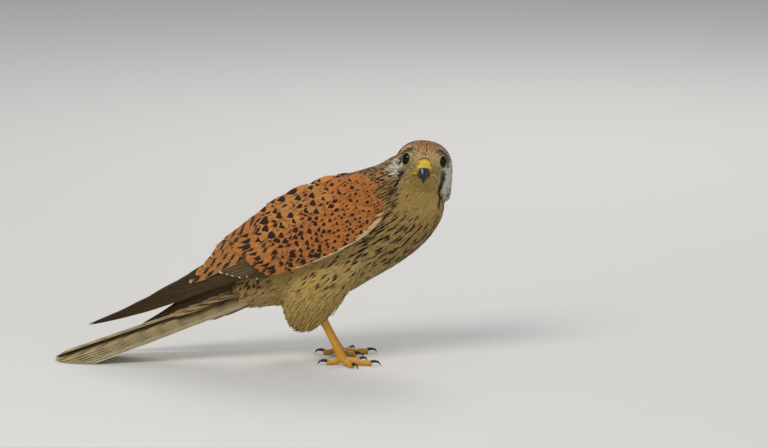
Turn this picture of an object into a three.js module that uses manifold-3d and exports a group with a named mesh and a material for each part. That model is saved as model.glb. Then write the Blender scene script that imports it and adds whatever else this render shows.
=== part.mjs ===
// A female common kestrel standing on level ground with its head turned to its right, life size.
// Millimetres. +X is the way the body faces, +Y is its left side and +Z is up, with the floor at z = 0.
import * as THREE from 'three';
import { LoftGeometry } from 'three/addons/geometries/LoftGeometry.js';
import { mergeVertices } from 'three/addons/utils/BufferGeometryUtils.js';
import Module from 'manifold-3d';

const wasm = await Module();
wasm.setup();

// Driving sizes
const gap = 0.3; // clearance between sub-parts that touch
const vaneThickness = 0.55;
const layer = vaneThickness + gap; // pitch of vanes that lie on one another
const wingLength = 251; // wrist to the tip of the longest primary
const tailLength = 172;
const tarsusRadius = 2.7;
const legSpread = 20; // half the distance between the feet
const eyeRadius = 6.2;
const floorFlat = 0.16; // share of a toe's radius that the floor cuts off

// Colours of the plumage and the bare parts
const look = (color, roughness) => new THREE.MeshStandardMaterial({ color, roughness, metalness: 0 });
const rufous = look(0xb5713f, 0.8);
const cream = look(0xc9ac78, 0.85);
const flightBrown = look(0x4a3626, 0.7);
const tailBrown = look(0x9a7650, 0.75);
const legYellow = look(0xe0a52c, 0.5);
const cereYellow = look(0xe2c23c, 0.45);
const hornBlack = look(0x26242a, 0.3);
const eyeBlack = look(0x0c0806, 0.05);

// Solid helpers
const vec = (x, y, z) => new THREE.Vector3(x, y, z);
const radians = THREE.MathUtils.degToRad;
const mix = THREE.MathUtils.lerp;

function toSolid(geometry) {
  const bare = new THREE.BufferGeometry();
  bare.setAttribute('position', geometry.attributes.position);
  bare.setIndex(geometry.index);
  const merged = mergeVertices(bare, 1e-4);
  const corners = merged.index.array;
  const triVerts = [];
  for (let i = 0; i < corners.length; i += 3) {
    const [a, b, c] = corners.subarray(i, i + 3);
    if (a !== b && b !== c && a !== c) triVerts.push(a, b, c);
  }
  const vertProperties = merged.attributes.position.array;
  const make = (tris) =>
    new wasm.Manifold(new wasm.Mesh({ numProp: 3, vertProperties, triVerts: new Uint32Array(tris) }));
  const made = make(triVerts);
  return made.volume() > 0 ? made : make(triVerts.reverse());
}

const fuse = (solids) => wasm.Manifold.union(solids);
const largest = (solid) => solid.decompose().sort((a, b) => b.volume() - a.volume())[0];

// A loft through rings of points, turned about first where the rings wind the wrong way for it
function loft(sections) {
  const [first, second] = sections;
  const normal = vec(0, 0, 0);
  first.forEach((point, i) => normal.add(point.clone().cross(first[(i + 1) % first.length])));
  const onward = second[0].clone().sub(first[0]).add(second[4].clone().sub(first[4]));
  const wound = normal.dot(onward) > 0 ? sections : sections.map((section) => section.slice().reverse());
  return toSolid(new LoftGeometry(wound, { capStart: true, capEnd: true }));
}

function without(solid, ...cutters) {
  return largest(cutters.reduce((left, cutter) => left.subtract(cutter), solid));
}

function toGeometry(solid) {
  const { vertProperties, triVerts } = solid.getMesh();
  const geometry = new THREE.BufferGeometry();
  geometry.setAttribute('position', new THREE.BufferAttribute(vertProperties, 3));
  geometry.setIndex(new THREE.BufferAttribute(triVerts, 1));
  geometry.computeVertexNormals();
  return geometry;
}

const bird = new THREE.Group();
function addNode(name, solid, material) {
  const mesh = new THREE.Mesh(toGeometry(solid), material);
  mesh.name = name;
  bird.add(mesh);
}

// A curve through values at even steps of 0 to 1, and one through values at named places
const through = (values) => {
  const curve = new THREE.SplineCurve(values.map((value, i) => new THREE.Vector2(i, value)));
  return (t) => curve.getPoint(THREE.MathUtils.clamp(t, 0, 1)).y;
};
const throughPlaces = (places, values) => {
  const curve = through(values);
  const last = places.length - 1;
  return (place) => {
    const next = Math.min(last, Math.max(1, places.findIndex((p) => p >= place)));
    const i = place >= places[last] ? last : next;
    const share = (place - places[i - 1]) / (places[i] - places[i - 1]);
    return curve((i - 1 + THREE.MathUtils.clamp(share, 0, 1)) / last);
  };
};

// A rounded body between an upper and a lower outline. Each station gives the two outline points [x, z],
// the half width, how far its middle is moved sideways, and how much further its upper end is.
function spanBody(stations, { rows, around, grow = 0, squareness = 0.92, shape = (p) => p }) {
  const tops = new THREE.SplineCurve(stations.map((s) => new THREE.Vector2(...s.top)));
  const unders = new THREE.SplineCurve(stations.map((s) => new THREE.Vector2(...s.under)));
  const half = through(stations.map((s) => s.half));
  const aside = through(stations.map((s) => s.aside ?? 0));
  const skew = through(stations.map((s) => s.skew ?? 0));
  const soften = (value) => Math.sign(value) * Math.abs(value) ** squareness;
  const middleAt = (t) => tops.getPoint(t).add(unders.getPoint(t)).multiplyScalar(0.5);
  const sections = [];
  for (let row = 0; row <= rows; row++) {
    const t = row / rows;
    const middle = middleAt(t);
    const reach = tops.getPoint(t).sub(unders.getPoint(t)).multiplyScalar(0.5);
    reach.setLength(reach.length() + grow);
    const onward = row === 0 ? -grow : row === rows ? grow : 0;
    const ahead = middleAt(Math.min(1, t + 0.02)).sub(middleAt(Math.max(0, t - 0.02))).setLength(1);
    middle.addScaledVector(ahead, onward);
    const section = [];
    for (let i = 0; i < around; i++) {
      const angle = (2 * Math.PI * i) / around;
      const up = soften(Math.cos(angle));
      const side = soften(Math.sin(angle)) * (half(t) + grow) + aside(t) + skew(t) * up;
      section.push(shape(vec(middle.x + reach.x * up, side, middle.y + reach.y * up)));
    }
    sections.push(section);
  }
  return loft(sections);
}

// A round bar along points, each with its own radius
function roundBar(points, radii, { rows, around, grow = 0 }) {
  const path = new THREE.CatmullRomCurve3(points);
  const radius = through(radii);
  const sections = [];
  const sideways = vec(0, 1, 0);
  for (let row = 0; row <= rows; row++) {
    const t = row / rows;
    const ahead = path.getTangent(t);
    const centre = path.getPoint(t).addScaledVector(ahead, row === 0 ? -grow : row === rows ? grow : 0);
    const across = sideways.clone().cross(ahead).normalize();
    const other = ahead.clone().cross(across);
    const section = [];
    for (let i = 0; i < around; i++) {
      const angle = (2 * Math.PI * i) / around;
      const spoke = across.clone().multiplyScalar(Math.cos(angle)).addScaledVector(other, Math.sin(angle));
      section.push(centre.clone().addScaledVector(spoke, radius(t) + grow));
    }
    sections.push(section);
  }
  return loft(sections);
}

// A feather's vane as a thin plate. place(along, across, depth) puts it on the surface that it lies on.
// Both faces are split into triangles alike, so that they never cross where the vane bends.
const roundTip = (s) =>
  s < 0.7 ? mix(0.6, 1, Math.min(1, s / 0.35)) : Math.sqrt(1.02 - ((s - 0.7) / 0.3) ** 2);
const pointedTip = (s) => (s < 0.45 ? mix(0.7, 1, s / 0.45) : 1.04 - ((s - 0.45) / 0.55) ** 1.8);
function vane(place, { root, tip, half, outline = roundTip, bow = 0, tilt = 0, rows = 5 }) {
  const top = [];
  const bottom = [];
  for (let row = 0; row <= rows; row++) {
    const s = row / rows;
    const along = mix(root[0], tip[0], s);
    const across = mix(root[1], tip[1], s) + bow * Math.sin(Math.PI * s);
    const depth = mix(root[2], tip[2], s);
    const width = half * Math.max(0.12, outline(s));
    const thick = mix(vaneThickness, 0.6 * vaneThickness, s ** 3) / 2;
    for (const edge of [-1, 1]) {
      const lean = depth + edge * width * tilt;
      top.push(place(along, across + edge * width, lean - thick));
      bottom.push(place(along, across + edge * width, lean + thick));
    }
  }
  const count = top.length;
  const faces = [];
  for (let row = 0; row < rows; row++) {
    const [a, b, c, d] = [2 * row, 2 * row + 1, 2 * row + 2, 2 * row + 3];
    faces.push(a, b, d, a, d, c);
    faces.push(count + a, count + d, count + b, count + a, count + c, count + d);
    faces.push(a, c, count + c, a, count + c, count + a);
    faces.push(b, count + b, count + d, b, count + d, d);
  }
  const end = 2 * rows;
  faces.push(0, count, count + 1, 0, count + 1, 1);
  faces.push(end, end + 1, count + end + 1, end, count + end + 1, count + end);
  const geometry = new THREE.BufferGeometry().setFromPoints([...top, ...bottom]);
  geometry.setIndex(faces);
  return toSolid(geometry);
}

// Torso and neck: the back line, the belly line and the half width, from the tail's root to the head
const trunkStations = [
  { top: [-86, 58], under: [-84, 42], half: 8 },
  { top: [-76, 76], under: [-68, 42], half: 14 },
  { top: [-62, 96], under: [-48, 44], half: 20 },
  { top: [-46, 116], under: [-24, 46], half: 26.5 },
  { top: [-27, 132], under: [2, 52], half: 29 },
  { top: [-5, 145], under: [25, 65], half: 30 },
  { top: [15, 152], under: [47, 78], half: 29.5 },
  { top: [30, 156.5], under: [64, 91], half: 27 },
  { top: [39.5, 161.5], under: [76.2, 106], half: 21, aside: 1, skew: 5 },
  { top: [45, 162], under: [82.5, 121], half: 13.5, aside: 4, skew: 12 },
  { top: [54, 157], under: [82, 138], half: 9, aside: 4, skew: 9 },
];
const neckShare = 0.735; // where along the stations the neck starts
const trunk = (grow) => spanBody(trunkStations, { rows: 25, around: 28, grow });

// Head, built about its own middle: x forward to the bill, y to its left, z up
const headTurn = 89; // degrees to the right
const headRoll = -5;
const headPitch = 6;
const headMiddle = vec(66.1, -5, 157.3);
const headStations = [
  { top: [18.6, 3], under: [18, -7.5], half: 5.4 },
  { top: [17.2, 6.8], under: [16.3, -10.5], half: 7.8 },
  { top: [14.6, 11], under: [13, -13], half: 10.8 },
  { top: [10.5, 15.2], under: [9, -17.5], half: 14.6 },
  { top: [3.5, 18.2], under: [3, -23.5], half: 18.6 },
  { top: [-4.5, 19.3], under: [-4, -28.5], half: 22.6 },
  { top: [-13, 18], under: [-11, -31], half: 23.8 },
  { top: [-20.5, 13.8], under: [-18, -28], half: 21 },
  { top: [-26.5, 6.5], under: [-24, -19], half: 14.5 },
  { top: [-29, -0.5], under: [-28, -6], half: 6 },
];
const eyeTurn = radians(50);
const eyeAxis = (side) => vec(Math.cos(eyeTurn), side * Math.sin(eyeTurn), 0.08).normalize();
const eyeMiddle = (side) => vec(9.4, side * 11.6, 3.6);
const lidRadius = 4.7;
const lidThickness = 0.8;

// Soft swellings and hollows of the face: place, direction and height, spread
const faceForms = [-1, 1].flatMap((side) => [
  { at: vec(13, side * 10.5, 10.2), push: vec(0.6, side * 1.1, 0.7), spread: 3.6 },
  { at: vec(16, side * 8.5, 1), push: vec(-0.7, side * -0.9, 0), spread: 3.4 },
  { at: vec(4, side * 18, -12), push: vec(1, side * 2.2, 0), spread: 9 },
  { at: vec(-6, side * 17, -26), push: vec(0, side * 6.5, -2.5), spread: 9 },
]);
function shapeFace(point) {
  const moved = point.clone();
  for (const { at, push, spread } of faceForms) {
    moved.addScaledVector(push, Math.exp(-point.distanceToSquared(at) / (spread * spread)));
  }
  return moved;
}

const headPlace = new THREE.Matrix4()
  .makeTranslation(headMiddle.x, headMiddle.y, headMiddle.z)
  .multiply(new THREE.Matrix4().makeRotationZ(radians(-headTurn)))
  .multiply(new THREE.Matrix4().makeRotationY(radians(-headPitch)))
  .multiply(new THREE.Matrix4().makeRotationX(radians(headRoll)));
const inHead = (solid) => solid.transform(headPlace.elements);
const headBody = (grow) =>
  spanBody(headStations, { rows: 20, around: 32, grow, squareness: 0.84, shape: shapeFace });
const turnTo = (direction) => new THREE.Quaternion().setFromUnitVectors(vec(0, 0, 1), direction);
function ball(centre, radius, around = 14, rows = 10) {
  return toSolid(new THREE.SphereGeometry(radius, around, rows).translate(...centre.toArray()));
}
function eyelid(side) {
  const ring = new THREE.TorusGeometry(lidRadius, lidThickness, 6, 16);
  ring.applyQuaternion(turnTo(eyeAxis(side)));
  const seat = Math.sqrt(eyeRadius ** 2 - lidRadius ** 2);
  const centre = eyeMiddle(side).addScaledVector(eyeAxis(side), seat);
  return toSolid(ring.translate(...centre.toArray()));
}

// Bill, in the head's own coordinates
const billStations = [
  { top: [15.5, 6.2], under: [13.5, -4.8], half: 6 },
  { top: [19.5, 4.8], under: [18.5, -5.6], half: 5.9 },
  { top: [22.8, 2.6], under: [21.2, -6.4], half: 5.4 },
  { top: [25.6, -0.6], under: [23.4, -7.4], half: 4.5 },
  { top: [27.5, -4], under: [25, -8.6], half: 3.4 },
  { top: [28.5, -7.4], under: [26.3, -10.2], half: 2.3 },
  { top: [28.6, -10.8], under: [27.1, -12], half: 1.2 },
  { top: [27.9, -13.7], under: [27.4, -13.5], half: 0.4 },
];
const mandibleStations = [
  { top: [12.5, -5.8], under: [11.5, -9.8], half: 5.4 },
  { top: [18, -6.4], under: [17.5, -10.6], half: 4.6 },
  { top: [21.6, -7.6], under: [21.2, -10.9], half: 3.4 },
  { top: [24.2, -9.2], under: [23.9, -10.8], half: 1.6 },
];
const cereEnd = 26.8; // where the yellow cere would meet the horn at the head's middle height
const cereSlope = vec(Math.cos(radians(35)), 0, -Math.sin(radians(35)));
const nostrilAt = (side) => vec(22.4, side * 4.7, 0.9);
const upperBill = (grow) => spanBody(billStations, { rows: 14, around: 12, grow, squareness: 0.95 });
const lowerBill = (grow) => spanBody(mandibleStations, { rows: 6, around: 10, grow, squareness: 0.9 });

function gapeFold(side, grow) {
  const points = [vec(18.5, side * 5.6, -5.4), vec(14.5, side * 9.2, -6.4), vec(11, side * 12.2, -8)];
  return roundBar(points, [0.9, 0.8, 0.5], { rows: 5, around: 6, grow });
}

function buildHead(torsoRoom) {
  const skull = headBody(0);
  const lids = [-1, 1].map(eyelid);
  const folds = [-1, 1].map((side) => gapeFold(side, 0));
  const eyes = [-1, 1].map((side) => ball(eyeMiddle(side), eyeRadius + gap));
  const nostrils = [-1, 1].map((side) => ball(nostrilAt(side), 1.1, 8, 6));
  const billRoom = upperBill(gap);
  const jawRoom = lowerBill(gap);
  const hornStart = cereSlope.dot(vec(cereEnd, 0, 0)) + gap / 2;
  const cere = upperBill(0.25).trimByPlane(cereSlope.clone().negate().toArray(), gap - hornStart);
  const horn = upperBill(0).trimByPlane(cereSlope.toArray(), hornStart);
  const bareHead = without(fuse([skull, ...lids]), ...eyes, upperBill(0.25 + gap), jawRoom);
  const freeFolds = folds.map((fold) => fold.subtract(upperBill(0.25 + gap)).subtract(jawRoom));
  const head = largest(fuse([bareHead, ...freeFolds]));
  addNode('head', without(inHead(head), torsoRoom), cream);
  addNode('cere', inHead(without(cere, ...nostrils)), cereYellow);
  addNode('bill_upper', inHead(largest(horn)), hornBlack);
  addNode('bill_lower', inHead(without(lowerBill(0), billRoom, upperBill(0.25 + gap))), hornBlack);
  for (const [name, side] of [['left', 1], ['right', -1]]) {
    addNode(`eye_${name}`, inHead(ball(eyeMiddle(side), eyeRadius)), eyeBlack);
  }
}

// Legs. Each thigh is a loft from the flank down to the loose feathers behind the tarsus.
const legShift = { right: 0, left: -3 };
function thigh(side, shift, grow) {
  const station = (front, rear, half, aside) => ({
    top: [front[0] + shift, front[1]],
    under: [rear[0] + shift, rear[1]],
    half,
    aside: side * aside,
  });
  const stations = [
    station([24, 90], [-28, 90], 12, 14),
    station([18, 75], [-37, 68], 15, 19.5),
    station([8.5, 60], [-44, 55], 14.6, 21.5),
    station([0.5, 48], [-45, 44], 12.4, 21.5),
    station([-7, 39], [-41.5, 34], 9.4, 20.8),
    station([-14, 32], [-35.5, 28.5], 6, 20.3),
    station([-21, 28], [-30, 26.8], 2.4, 20),
  ];
  return spanBody(stations, { rows: 10, around: 16, grow, squareness: 0.95 });
}
const heel = (side, shift) => vec(-17 + shift, side * legSpread, 43);
const ankle = (side, shift) => vec(1.5 + shift, side * legSpread, 5.2);
function tarsus(side, shift, grow) {
  const top = heel(side, shift);
  const foot = ankle(side, shift);
  const start = top.clone().add(vec(-4, 0, 6));
  const points = [start, top, top.clone().lerp(foot, 0.5), foot.clone().lerp(top, 0.12), foot];
  const radii = [3.4, 3.5, tarsusRadius, tarsusRadius + 0.5, tarsusRadius + 1.1];
  const shank = roundBar(points, radii, { rows: 7, around: 10, grow });
  return fuse([shank, ball(foot, 3.9 + grow, 10, 6)]);
}

// Toes: length, radius, number of pads, and the way each points, in degrees outwards from straight ahead
const toes = {
  middle: { length: 24, radius: 2.3, turn: 12, pads: 3 },
  inner: { length: 16.5, radius: 2.15, turn: -32, pads: 2 },
  outer: { length: 17, radius: 2.05, turn: 58, pads: 3 },
  hind: { length: 12, radius: 2.3, turn: 172, pads: 1 },
};
const clawLength = 8.5;
const clawRadius = 1.25;
function toePath(side, shift, { length, radius, turn }) {
  const out = vec(Math.cos(radians(turn)), side * Math.sin(radians(turn)), 0);
  const from = ankle(side, shift);
  const at = (share, height) => vec(from.x, from.y, height).addScaledVector(out, share * length);
  const low = radius * (1 - floorFlat);
  const points = [at(0.06, 4.6), at(0.3, radius * 1.25), at(0.62, low), at(0.86, low), at(1, low + 0.2)];
  return { out, points };
}
function toe(side, shift, spec, grow) {
  const { radius, pads } = spec;
  const { points } = toePath(side, shift, spec);
  const swell = (s) => radius * (1 + 0.09 * Math.cos(2 * Math.PI * pads * s)) * (s > 0.9 ? 0.86 : 1);
  const radii = [0, 0.25, 0.5, 0.75, 1].map(swell);
  return roundBar(points, radii, { rows: 6, around: 8, grow });
}
function claw(side, shift, spec) {
  const { out, points } = toePath(side, shift, spec);
  const root = points[4].clone().add(vec(0, 0, 0.5));
  const at = (share, rise) => root.clone().addScaledVector(out, share * clawLength).add(vec(0, 0, rise));
  const low = 0.35 - root.z;
  const path = [at(-0.15, 0), at(0.3, 0.9), at(0.68, 0.1), at(0.86, low)];
  return roundBar(path, [clawRadius, 1.15, 0.75, 0.22], { rows: 4, around: 6 });
}
const aboveFloor = (solid, height = 0) => solid.trimByPlane([0, 0, 1], height);

function buildLeg(name, side, torsoRoom) {
  const shift = legShift[name];
  addNode(`thigh_${name}`, without(thigh(side, shift, 0), torsoRoom), cream);
  const shank = without(aboveFloor(tarsus(side, shift, 0)), thigh(side, shift, gap));
  addNode(`tarsus_${name}`, shank, legYellow);
  const footRoom = tarsus(side, shift, gap);
  const taken = [footRoom];
  for (const [toeName, spec] of Object.entries(toes)) {
    addNode(`toe_${name}_${toeName}`, without(aboveFloor(toe(side, shift, spec, 0)), ...taken), legYellow);
    const room = toe(side, shift, spec, gap);
    addNode(`claw_${name}_${toeName}`, without(aboveFloor(claw(side, shift, spec), 0.1), room), hornBlack);
    taken.push(room);
  }
}

// Wings. A folded wing is a curved surface: along runs from the wrist to the tip, across runs up from that
// line, and depth runs inwards from the outermost feathers.
const wrist = vec(35.5, 0, 116.5);
const wingPlaces = [-8, 0, 15, 30, 60, 90, 120, 150, 180, 215, wingLength];
const reachFolded = [28, 33.5, 37, 38.5, 39, 36, 30, 24.5, 21, 17.5, 16];
const reachDropped = [28, 33.5, 37, 38.5, 39, 37.5, 34.5, 33, 33, 34, 35];
const roofHeights = [44, 47, 51, 51.5, 50, 43.5, 31, 23.5, 22, 25, 28];
const roof = throughPlaces(wingPlaces, roofHeights);
const wings = {
  right: { side: -1, drop: 19.9, reach: throughPlaces(wingPlaces, reachFolded) },
  left: { side: 1, drop: 26, reach: throughPlaces(wingPlaces, reachDropped) },
};

function wingSurface({ side, drop, reach }) {
  const down = radians(drop);
  const alongAxis = vec(-Math.cos(down), 0, -Math.sin(down));
  const acrossAxis = vec(-Math.sin(down), 0, Math.cos(down));
  const bare = (along, across) => {
    const rise = across / roof(along);
    const curve = across > 0 ? Math.sqrt(Math.max(0.002, 1 - rise * rise)) : 1 - 0.55 * rise * rise;
    const out = reach(along) * curve * side;
    const flat = wrist.clone().addScaledVector(alongAxis, along).addScaledVector(acrossAxis, across);
    return flat.add(vec(0, out, 0));
  };
  return (along, across, depth) => {
    const step = 0.5;
    const forward = bare(along + step, across).sub(bare(along - step, across));
    const upward = bare(along, across + step).sub(bare(along, across - step));
    const inward = forward.cross(upward).normalize();
    if (inward.y * side > 0) inward.negate();
    return bare(along, across).addScaledVector(inward, depth);
  };
}

// A shell that follows the wing's surface between two places along it, thin at its edges
function wingShell(place, { from, to, rows, low, high, outer, thickness }) {
  const points = 8;
  const sections = [];
  for (let row = 0; row <= rows; row++) {
    const along = mix(from, to, row / rows);
    const outside = [];
    const inside = [];
    for (let i = 0; i < points; i++) {
      const share = i / (points - 1);
      const across = mix(low(along), high(along), share);
      const edge = Math.sin(Math.PI * mix(0.06, 0.94, share)) ** 0.5;
      outside.push(place(along, across, outer(along) + 1.2 * (1 - edge)));
      inside.unshift(place(along, across, outer(along) + 0.4 + thickness(along) * edge));
    }
    sections.push([...outside, ...inside]);
  }
  return loft(sections);
}

// The wing's flesh and small coverts, out to where the hand's quills start
const coreEnd = 122;
const coreLow = throughPlaces([-8, 0, 15, 35, 60, 90, coreEnd], [11, 2, -5, -9.5, -12, -12.5, -8]);
const coreHigh = throughPlaces([-8, 0, 15, 35, 60, 85, 100, coreEnd], [33, 40, 46, 49, 48.5, 43, 33, 13]);
const wingCore = (place) =>
  wingShell(place, {
    from: -8,
    to: coreEnd,
    rows: 10,
    low: coreLow,
    high: coreHigh,
    outer: throughPlaces([-8, 30, 60, 85, coreEnd], [0, 0, 1.4, 3.2, 5.6]),
    thickness: throughPlaces([-8, 15, 60, 100, coreEnd], [3, 10, 11, 8, 6]),
  });

// Tiers of quills and large coverts, from the outermost down. Each gives how many there are, and how one at a
// share of the way up the tier is set: root and tip as [along, across, depth], and half its width.
const tiers = [
  {
    count: 6, // median coverts
    set: (share) => ({
      root: [50, mix(-6, 40, share), 2.6],
      tip: [mix(76, 84, Math.sin(Math.PI * share)), mix(-8, 37, share), 0.3],
      half: 6,
      tilt: 0.13,
      rows: 3,
    }),
  },
  {
    count: 6, // greater coverts
    set: (share) => ({
      root: [mix(70, 82, share), mix(-5, 36, share), 5],
      tip: [mix(99, 120, Math.sin(Math.PI * 0.5 * share)), mix(-7, 29, share), 1.9],
      half: 5.8,
      tilt: 0.15,
      rows: 3,
    }),
  },
  {
    count: 3, // primary coverts
    set: (share) => ({
      root: [74, mix(-9, -3, share), 6.4],
      tip: [mix(118, 110, share), mix(-7, -1, share), 3.4],
      half: 4,
      tilt: 0.28,
      rows: 3,
    }),
  },
  {
    count: 2, // alula
    set: (share) => ({
      root: [20, mix(-4, -1, share), 3],
      tip: [mix(56, 48, share), mix(-9.5, -5.5, share), -0.4],
      half: 3,
      tilt: 0.2,
      rows: 3,
    }),
  },
  {
    count: 3, // tertials
    set: (share) => ({
      root: [mix(88, 82, share), mix(18, 33, share), 6],
      tip: [mix(156, 121, share), mix(13.5, 26, share), 3],
      half: 7.6,
      tilt: 0.13,
    }),
  },
  {
    count: 5, // secondaries
    set: (share) => ({
      root: [92, mix(-6, 12, share), 7],
      tip: [mix(131, 138, share), mix(-3, 10, share), 4],
      half: 6,
      tilt: 0.22,
      rows: 4,
    }),
  },
];
const primaryTips = [
  [162, 6],
  [181, 2.5],
  [202, -0.5],
  [225, -2.5],
  [238, -2.7],
  [wingLength, -2],
  [241, -4],
];
const primary = (tip, i) => ({
  root: [coreEnd - 14, mix(7, -5, i / (primaryTips.length - 1)), 6.5 + layer * 0.7 * i],
  tip: [...tip, 3.4 + layer * i],
  half: mix(7.4, 6, i / (primaryTips.length - 1)),
  outline: pointedTip,
  bow: -2,
});

function buildWing(name, room) {
  const wing = wings[name];
  const place = wingSurface(wing);
  const quills = primaryTips.map((tip, i) => vane(place, primary(tip, i)));
  for (const { count, set } of tiers) {
    for (let i = 0; i < count; i++) {
      quills.push(vane(place, set(i / (count - 1))));
    }
  }
  const whole = fuse([wingCore(place), ...quills]).trimByPlane([0, wing.side, 0], 0.4);
  addNode(`wing_${name}`, without(whole, ...room), rufous);
}

// Tail, in its own coordinates: along the tail, across it, and depth down from its top
const tailRoot = vec(-62, 0, 55);
const tailDrop = 19.6;
const tailPairs = 6;
const tailHalf = 10.8;
const tailShortening = [0, 1, 3, 7, 13, 21];
function tailSurface(along, across, depth) {
  const down = radians(tailDrop);
  const alongAxis = vec(-Math.cos(down), 0, -Math.sin(down));
  const upAxis = vec(-Math.sin(down), 0, Math.cos(down));
  const flat = tailRoot.clone().addScaledVector(alongAxis, along).addScaledVector(upAxis, -depth);
  return flat.add(vec(0, across, 0));
}
const tailCore = () =>
  spanBody(
    [
      { top: [-64, 62], under: [-64, 43], half: 9.5 },
      { top: [-80, 56], under: [-83, 40.5], half: 11 },
      { top: [-97, 49.5], under: [-101, 35.5], half: 10.5 },
      { top: [-110, 43.5], under: [-113, 32.5], half: 8.5 },
    ],
    { rows: 6, around: 14 },
  );

// The tail's feathers lie in pairs, the middle pair on top, each pair turned out a little further
function tailFeathers() {
  const stack = layer * tailPairs; // half the depth of the whole pile
  const feathers = [];
  for (let pair = 0; pair < tailPairs; pair++) {
    for (const side of [1, -1]) {
      const depth = layer * (2 * pair + (side > 0 ? 0.5 : 1.5)) - stack;
      const turn = radians(0.5 + 0.45 * pair);
      const start = side * (1.2 + 0.7 * pair);
      const length = tailLength - tailShortening[pair];
      feathers.push(
        vane(tailSurface, {
          root: [32, start, depth * 0.75],
          tip: [length, start + side * (length - 32) * Math.tan(turn), depth],
          half: tailHalf,
          rows: 4,
        }),
      );
    }
  }
  return feathers;
}

// Coverts over and under the tail's root
function tailCoverts() {
  const coverts = [];
  for (const face of [-1, 1]) {
    for (const across of [-6, 0, 6]) {
      coverts.push(
        vane(tailSurface, {
          root: [32, across * 0.7, face * 4.5],
          tip: [across === 0 ? 74 : 66, across * 1.2, face * (layer * tailPairs + 0.8)],
          half: 5,
          rows: 3,
        }),
      );
    }
  }
  return coverts;
}

function buildTail(room) {
  const whole = fuse([tailCore(), ...tailFeathers(), ...tailCoverts()]);
  addNode('tail', without(aboveFloor(whole), ...room), tailBrown);
}

// Whole bird
const trunkRoom = trunk(gap);
const thighRooms = [thigh(-1, legShift.right, gap), thigh(1, legShift.left, gap)];
const cutStation = neckShare * (trunkStations.length - 1);
const station = trunkStations[Math.floor(cutStation)];
const nextStation = trunkStations[Math.ceil(cutStation)];
const cutMiddle = (s) => vec((s.top[0] + s.under[0]) / 2, 0, (s.top[1] + s.under[1]) / 2);
const neckMiddle = cutMiddle(station).lerp(cutMiddle(nextStation), cutStation % 1);
const neckAhead = cutMiddle(nextStation).sub(cutMiddle(station)).normalize();
const neckOffset = neckAhead.dot(neckMiddle);
const headRoom = inHead(fuse([headBody(gap), gapeFold(-1, gap), gapeFold(1, gap)]));

const torso = trunk(0).trimByPlane(neckAhead.clone().negate().toArray(), gap / 2 - neckOffset);
const neck = trunk(0).trimByPlane(neckAhead.toArray(), neckOffset + gap / 2);
const torsoRoom = trunkRoom.trimByPlane(neckAhead.clone().negate().toArray(), -gap / 2 - neckOffset);
addNode('torso', torso, cream);
addNode('neck', without(neck, headRoom), cream);
buildHead(torsoRoom);
buildTail([trunkRoom]);
buildLeg('right', -1, trunkRoom);
buildLeg('left', 1, trunkRoom);
buildWing('right', [trunkRoom, ...thighRooms]);
buildWing('left', [trunkRoom, ...thighRooms]);

// The origin is the middle of the outline on the floor
const extent = new THREE.Box3().setFromObject(bird);
const middle = extent.getCenter(vec(0, 0, 0));
bird.position.set(-middle.x, -middle.y, -extent.min.z);

export default bird;
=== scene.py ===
"""A female common kestrel on a pale studio floor: skin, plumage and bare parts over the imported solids.

Lengths are in millimetres in the bird's own frame (x forwards, y to its left, z up, floor at zero), until
to_frame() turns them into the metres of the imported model.
"""

import math

import bmesh
import bpy
import numpy as np
from bpy.props import FloatProperty, FloatVectorProperty, PointerProperty
from mathutils import Matrix, Vector
from mathutils.kdtree import KDTree


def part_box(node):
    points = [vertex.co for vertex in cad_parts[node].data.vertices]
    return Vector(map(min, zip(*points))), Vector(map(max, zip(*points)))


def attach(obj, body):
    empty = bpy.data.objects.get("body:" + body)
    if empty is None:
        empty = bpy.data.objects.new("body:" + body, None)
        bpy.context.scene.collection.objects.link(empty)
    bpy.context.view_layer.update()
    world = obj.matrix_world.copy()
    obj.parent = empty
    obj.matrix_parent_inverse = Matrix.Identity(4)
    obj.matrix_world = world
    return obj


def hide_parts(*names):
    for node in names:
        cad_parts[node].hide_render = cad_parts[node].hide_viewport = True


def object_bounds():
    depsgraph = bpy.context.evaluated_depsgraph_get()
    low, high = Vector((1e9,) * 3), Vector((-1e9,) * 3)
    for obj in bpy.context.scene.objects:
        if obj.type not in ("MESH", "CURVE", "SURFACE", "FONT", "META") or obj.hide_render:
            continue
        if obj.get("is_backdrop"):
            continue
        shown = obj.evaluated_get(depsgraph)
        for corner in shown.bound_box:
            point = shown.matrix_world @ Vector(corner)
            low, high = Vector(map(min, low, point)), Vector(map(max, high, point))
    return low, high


bl_info = {
    "name": "Kestrel Plumage",
    "version": (1, 0, 0),
    "blender": (4, 5, 0),
    "location": "3D View > Sidebar > Kestrel",
    "description": "Builds the skin, the plumage and the bare parts of a standing kestrel",
    "category": "Add Mesh",
}

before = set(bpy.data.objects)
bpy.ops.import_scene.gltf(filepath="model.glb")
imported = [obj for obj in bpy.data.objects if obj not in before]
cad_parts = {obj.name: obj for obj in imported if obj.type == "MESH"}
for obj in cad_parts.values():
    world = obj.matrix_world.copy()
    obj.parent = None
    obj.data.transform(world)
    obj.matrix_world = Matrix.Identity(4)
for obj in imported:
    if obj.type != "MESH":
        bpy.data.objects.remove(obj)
CAD_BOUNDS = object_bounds()

MM = 0.001
SIDES = {"right": -1, "left": 1}

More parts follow.
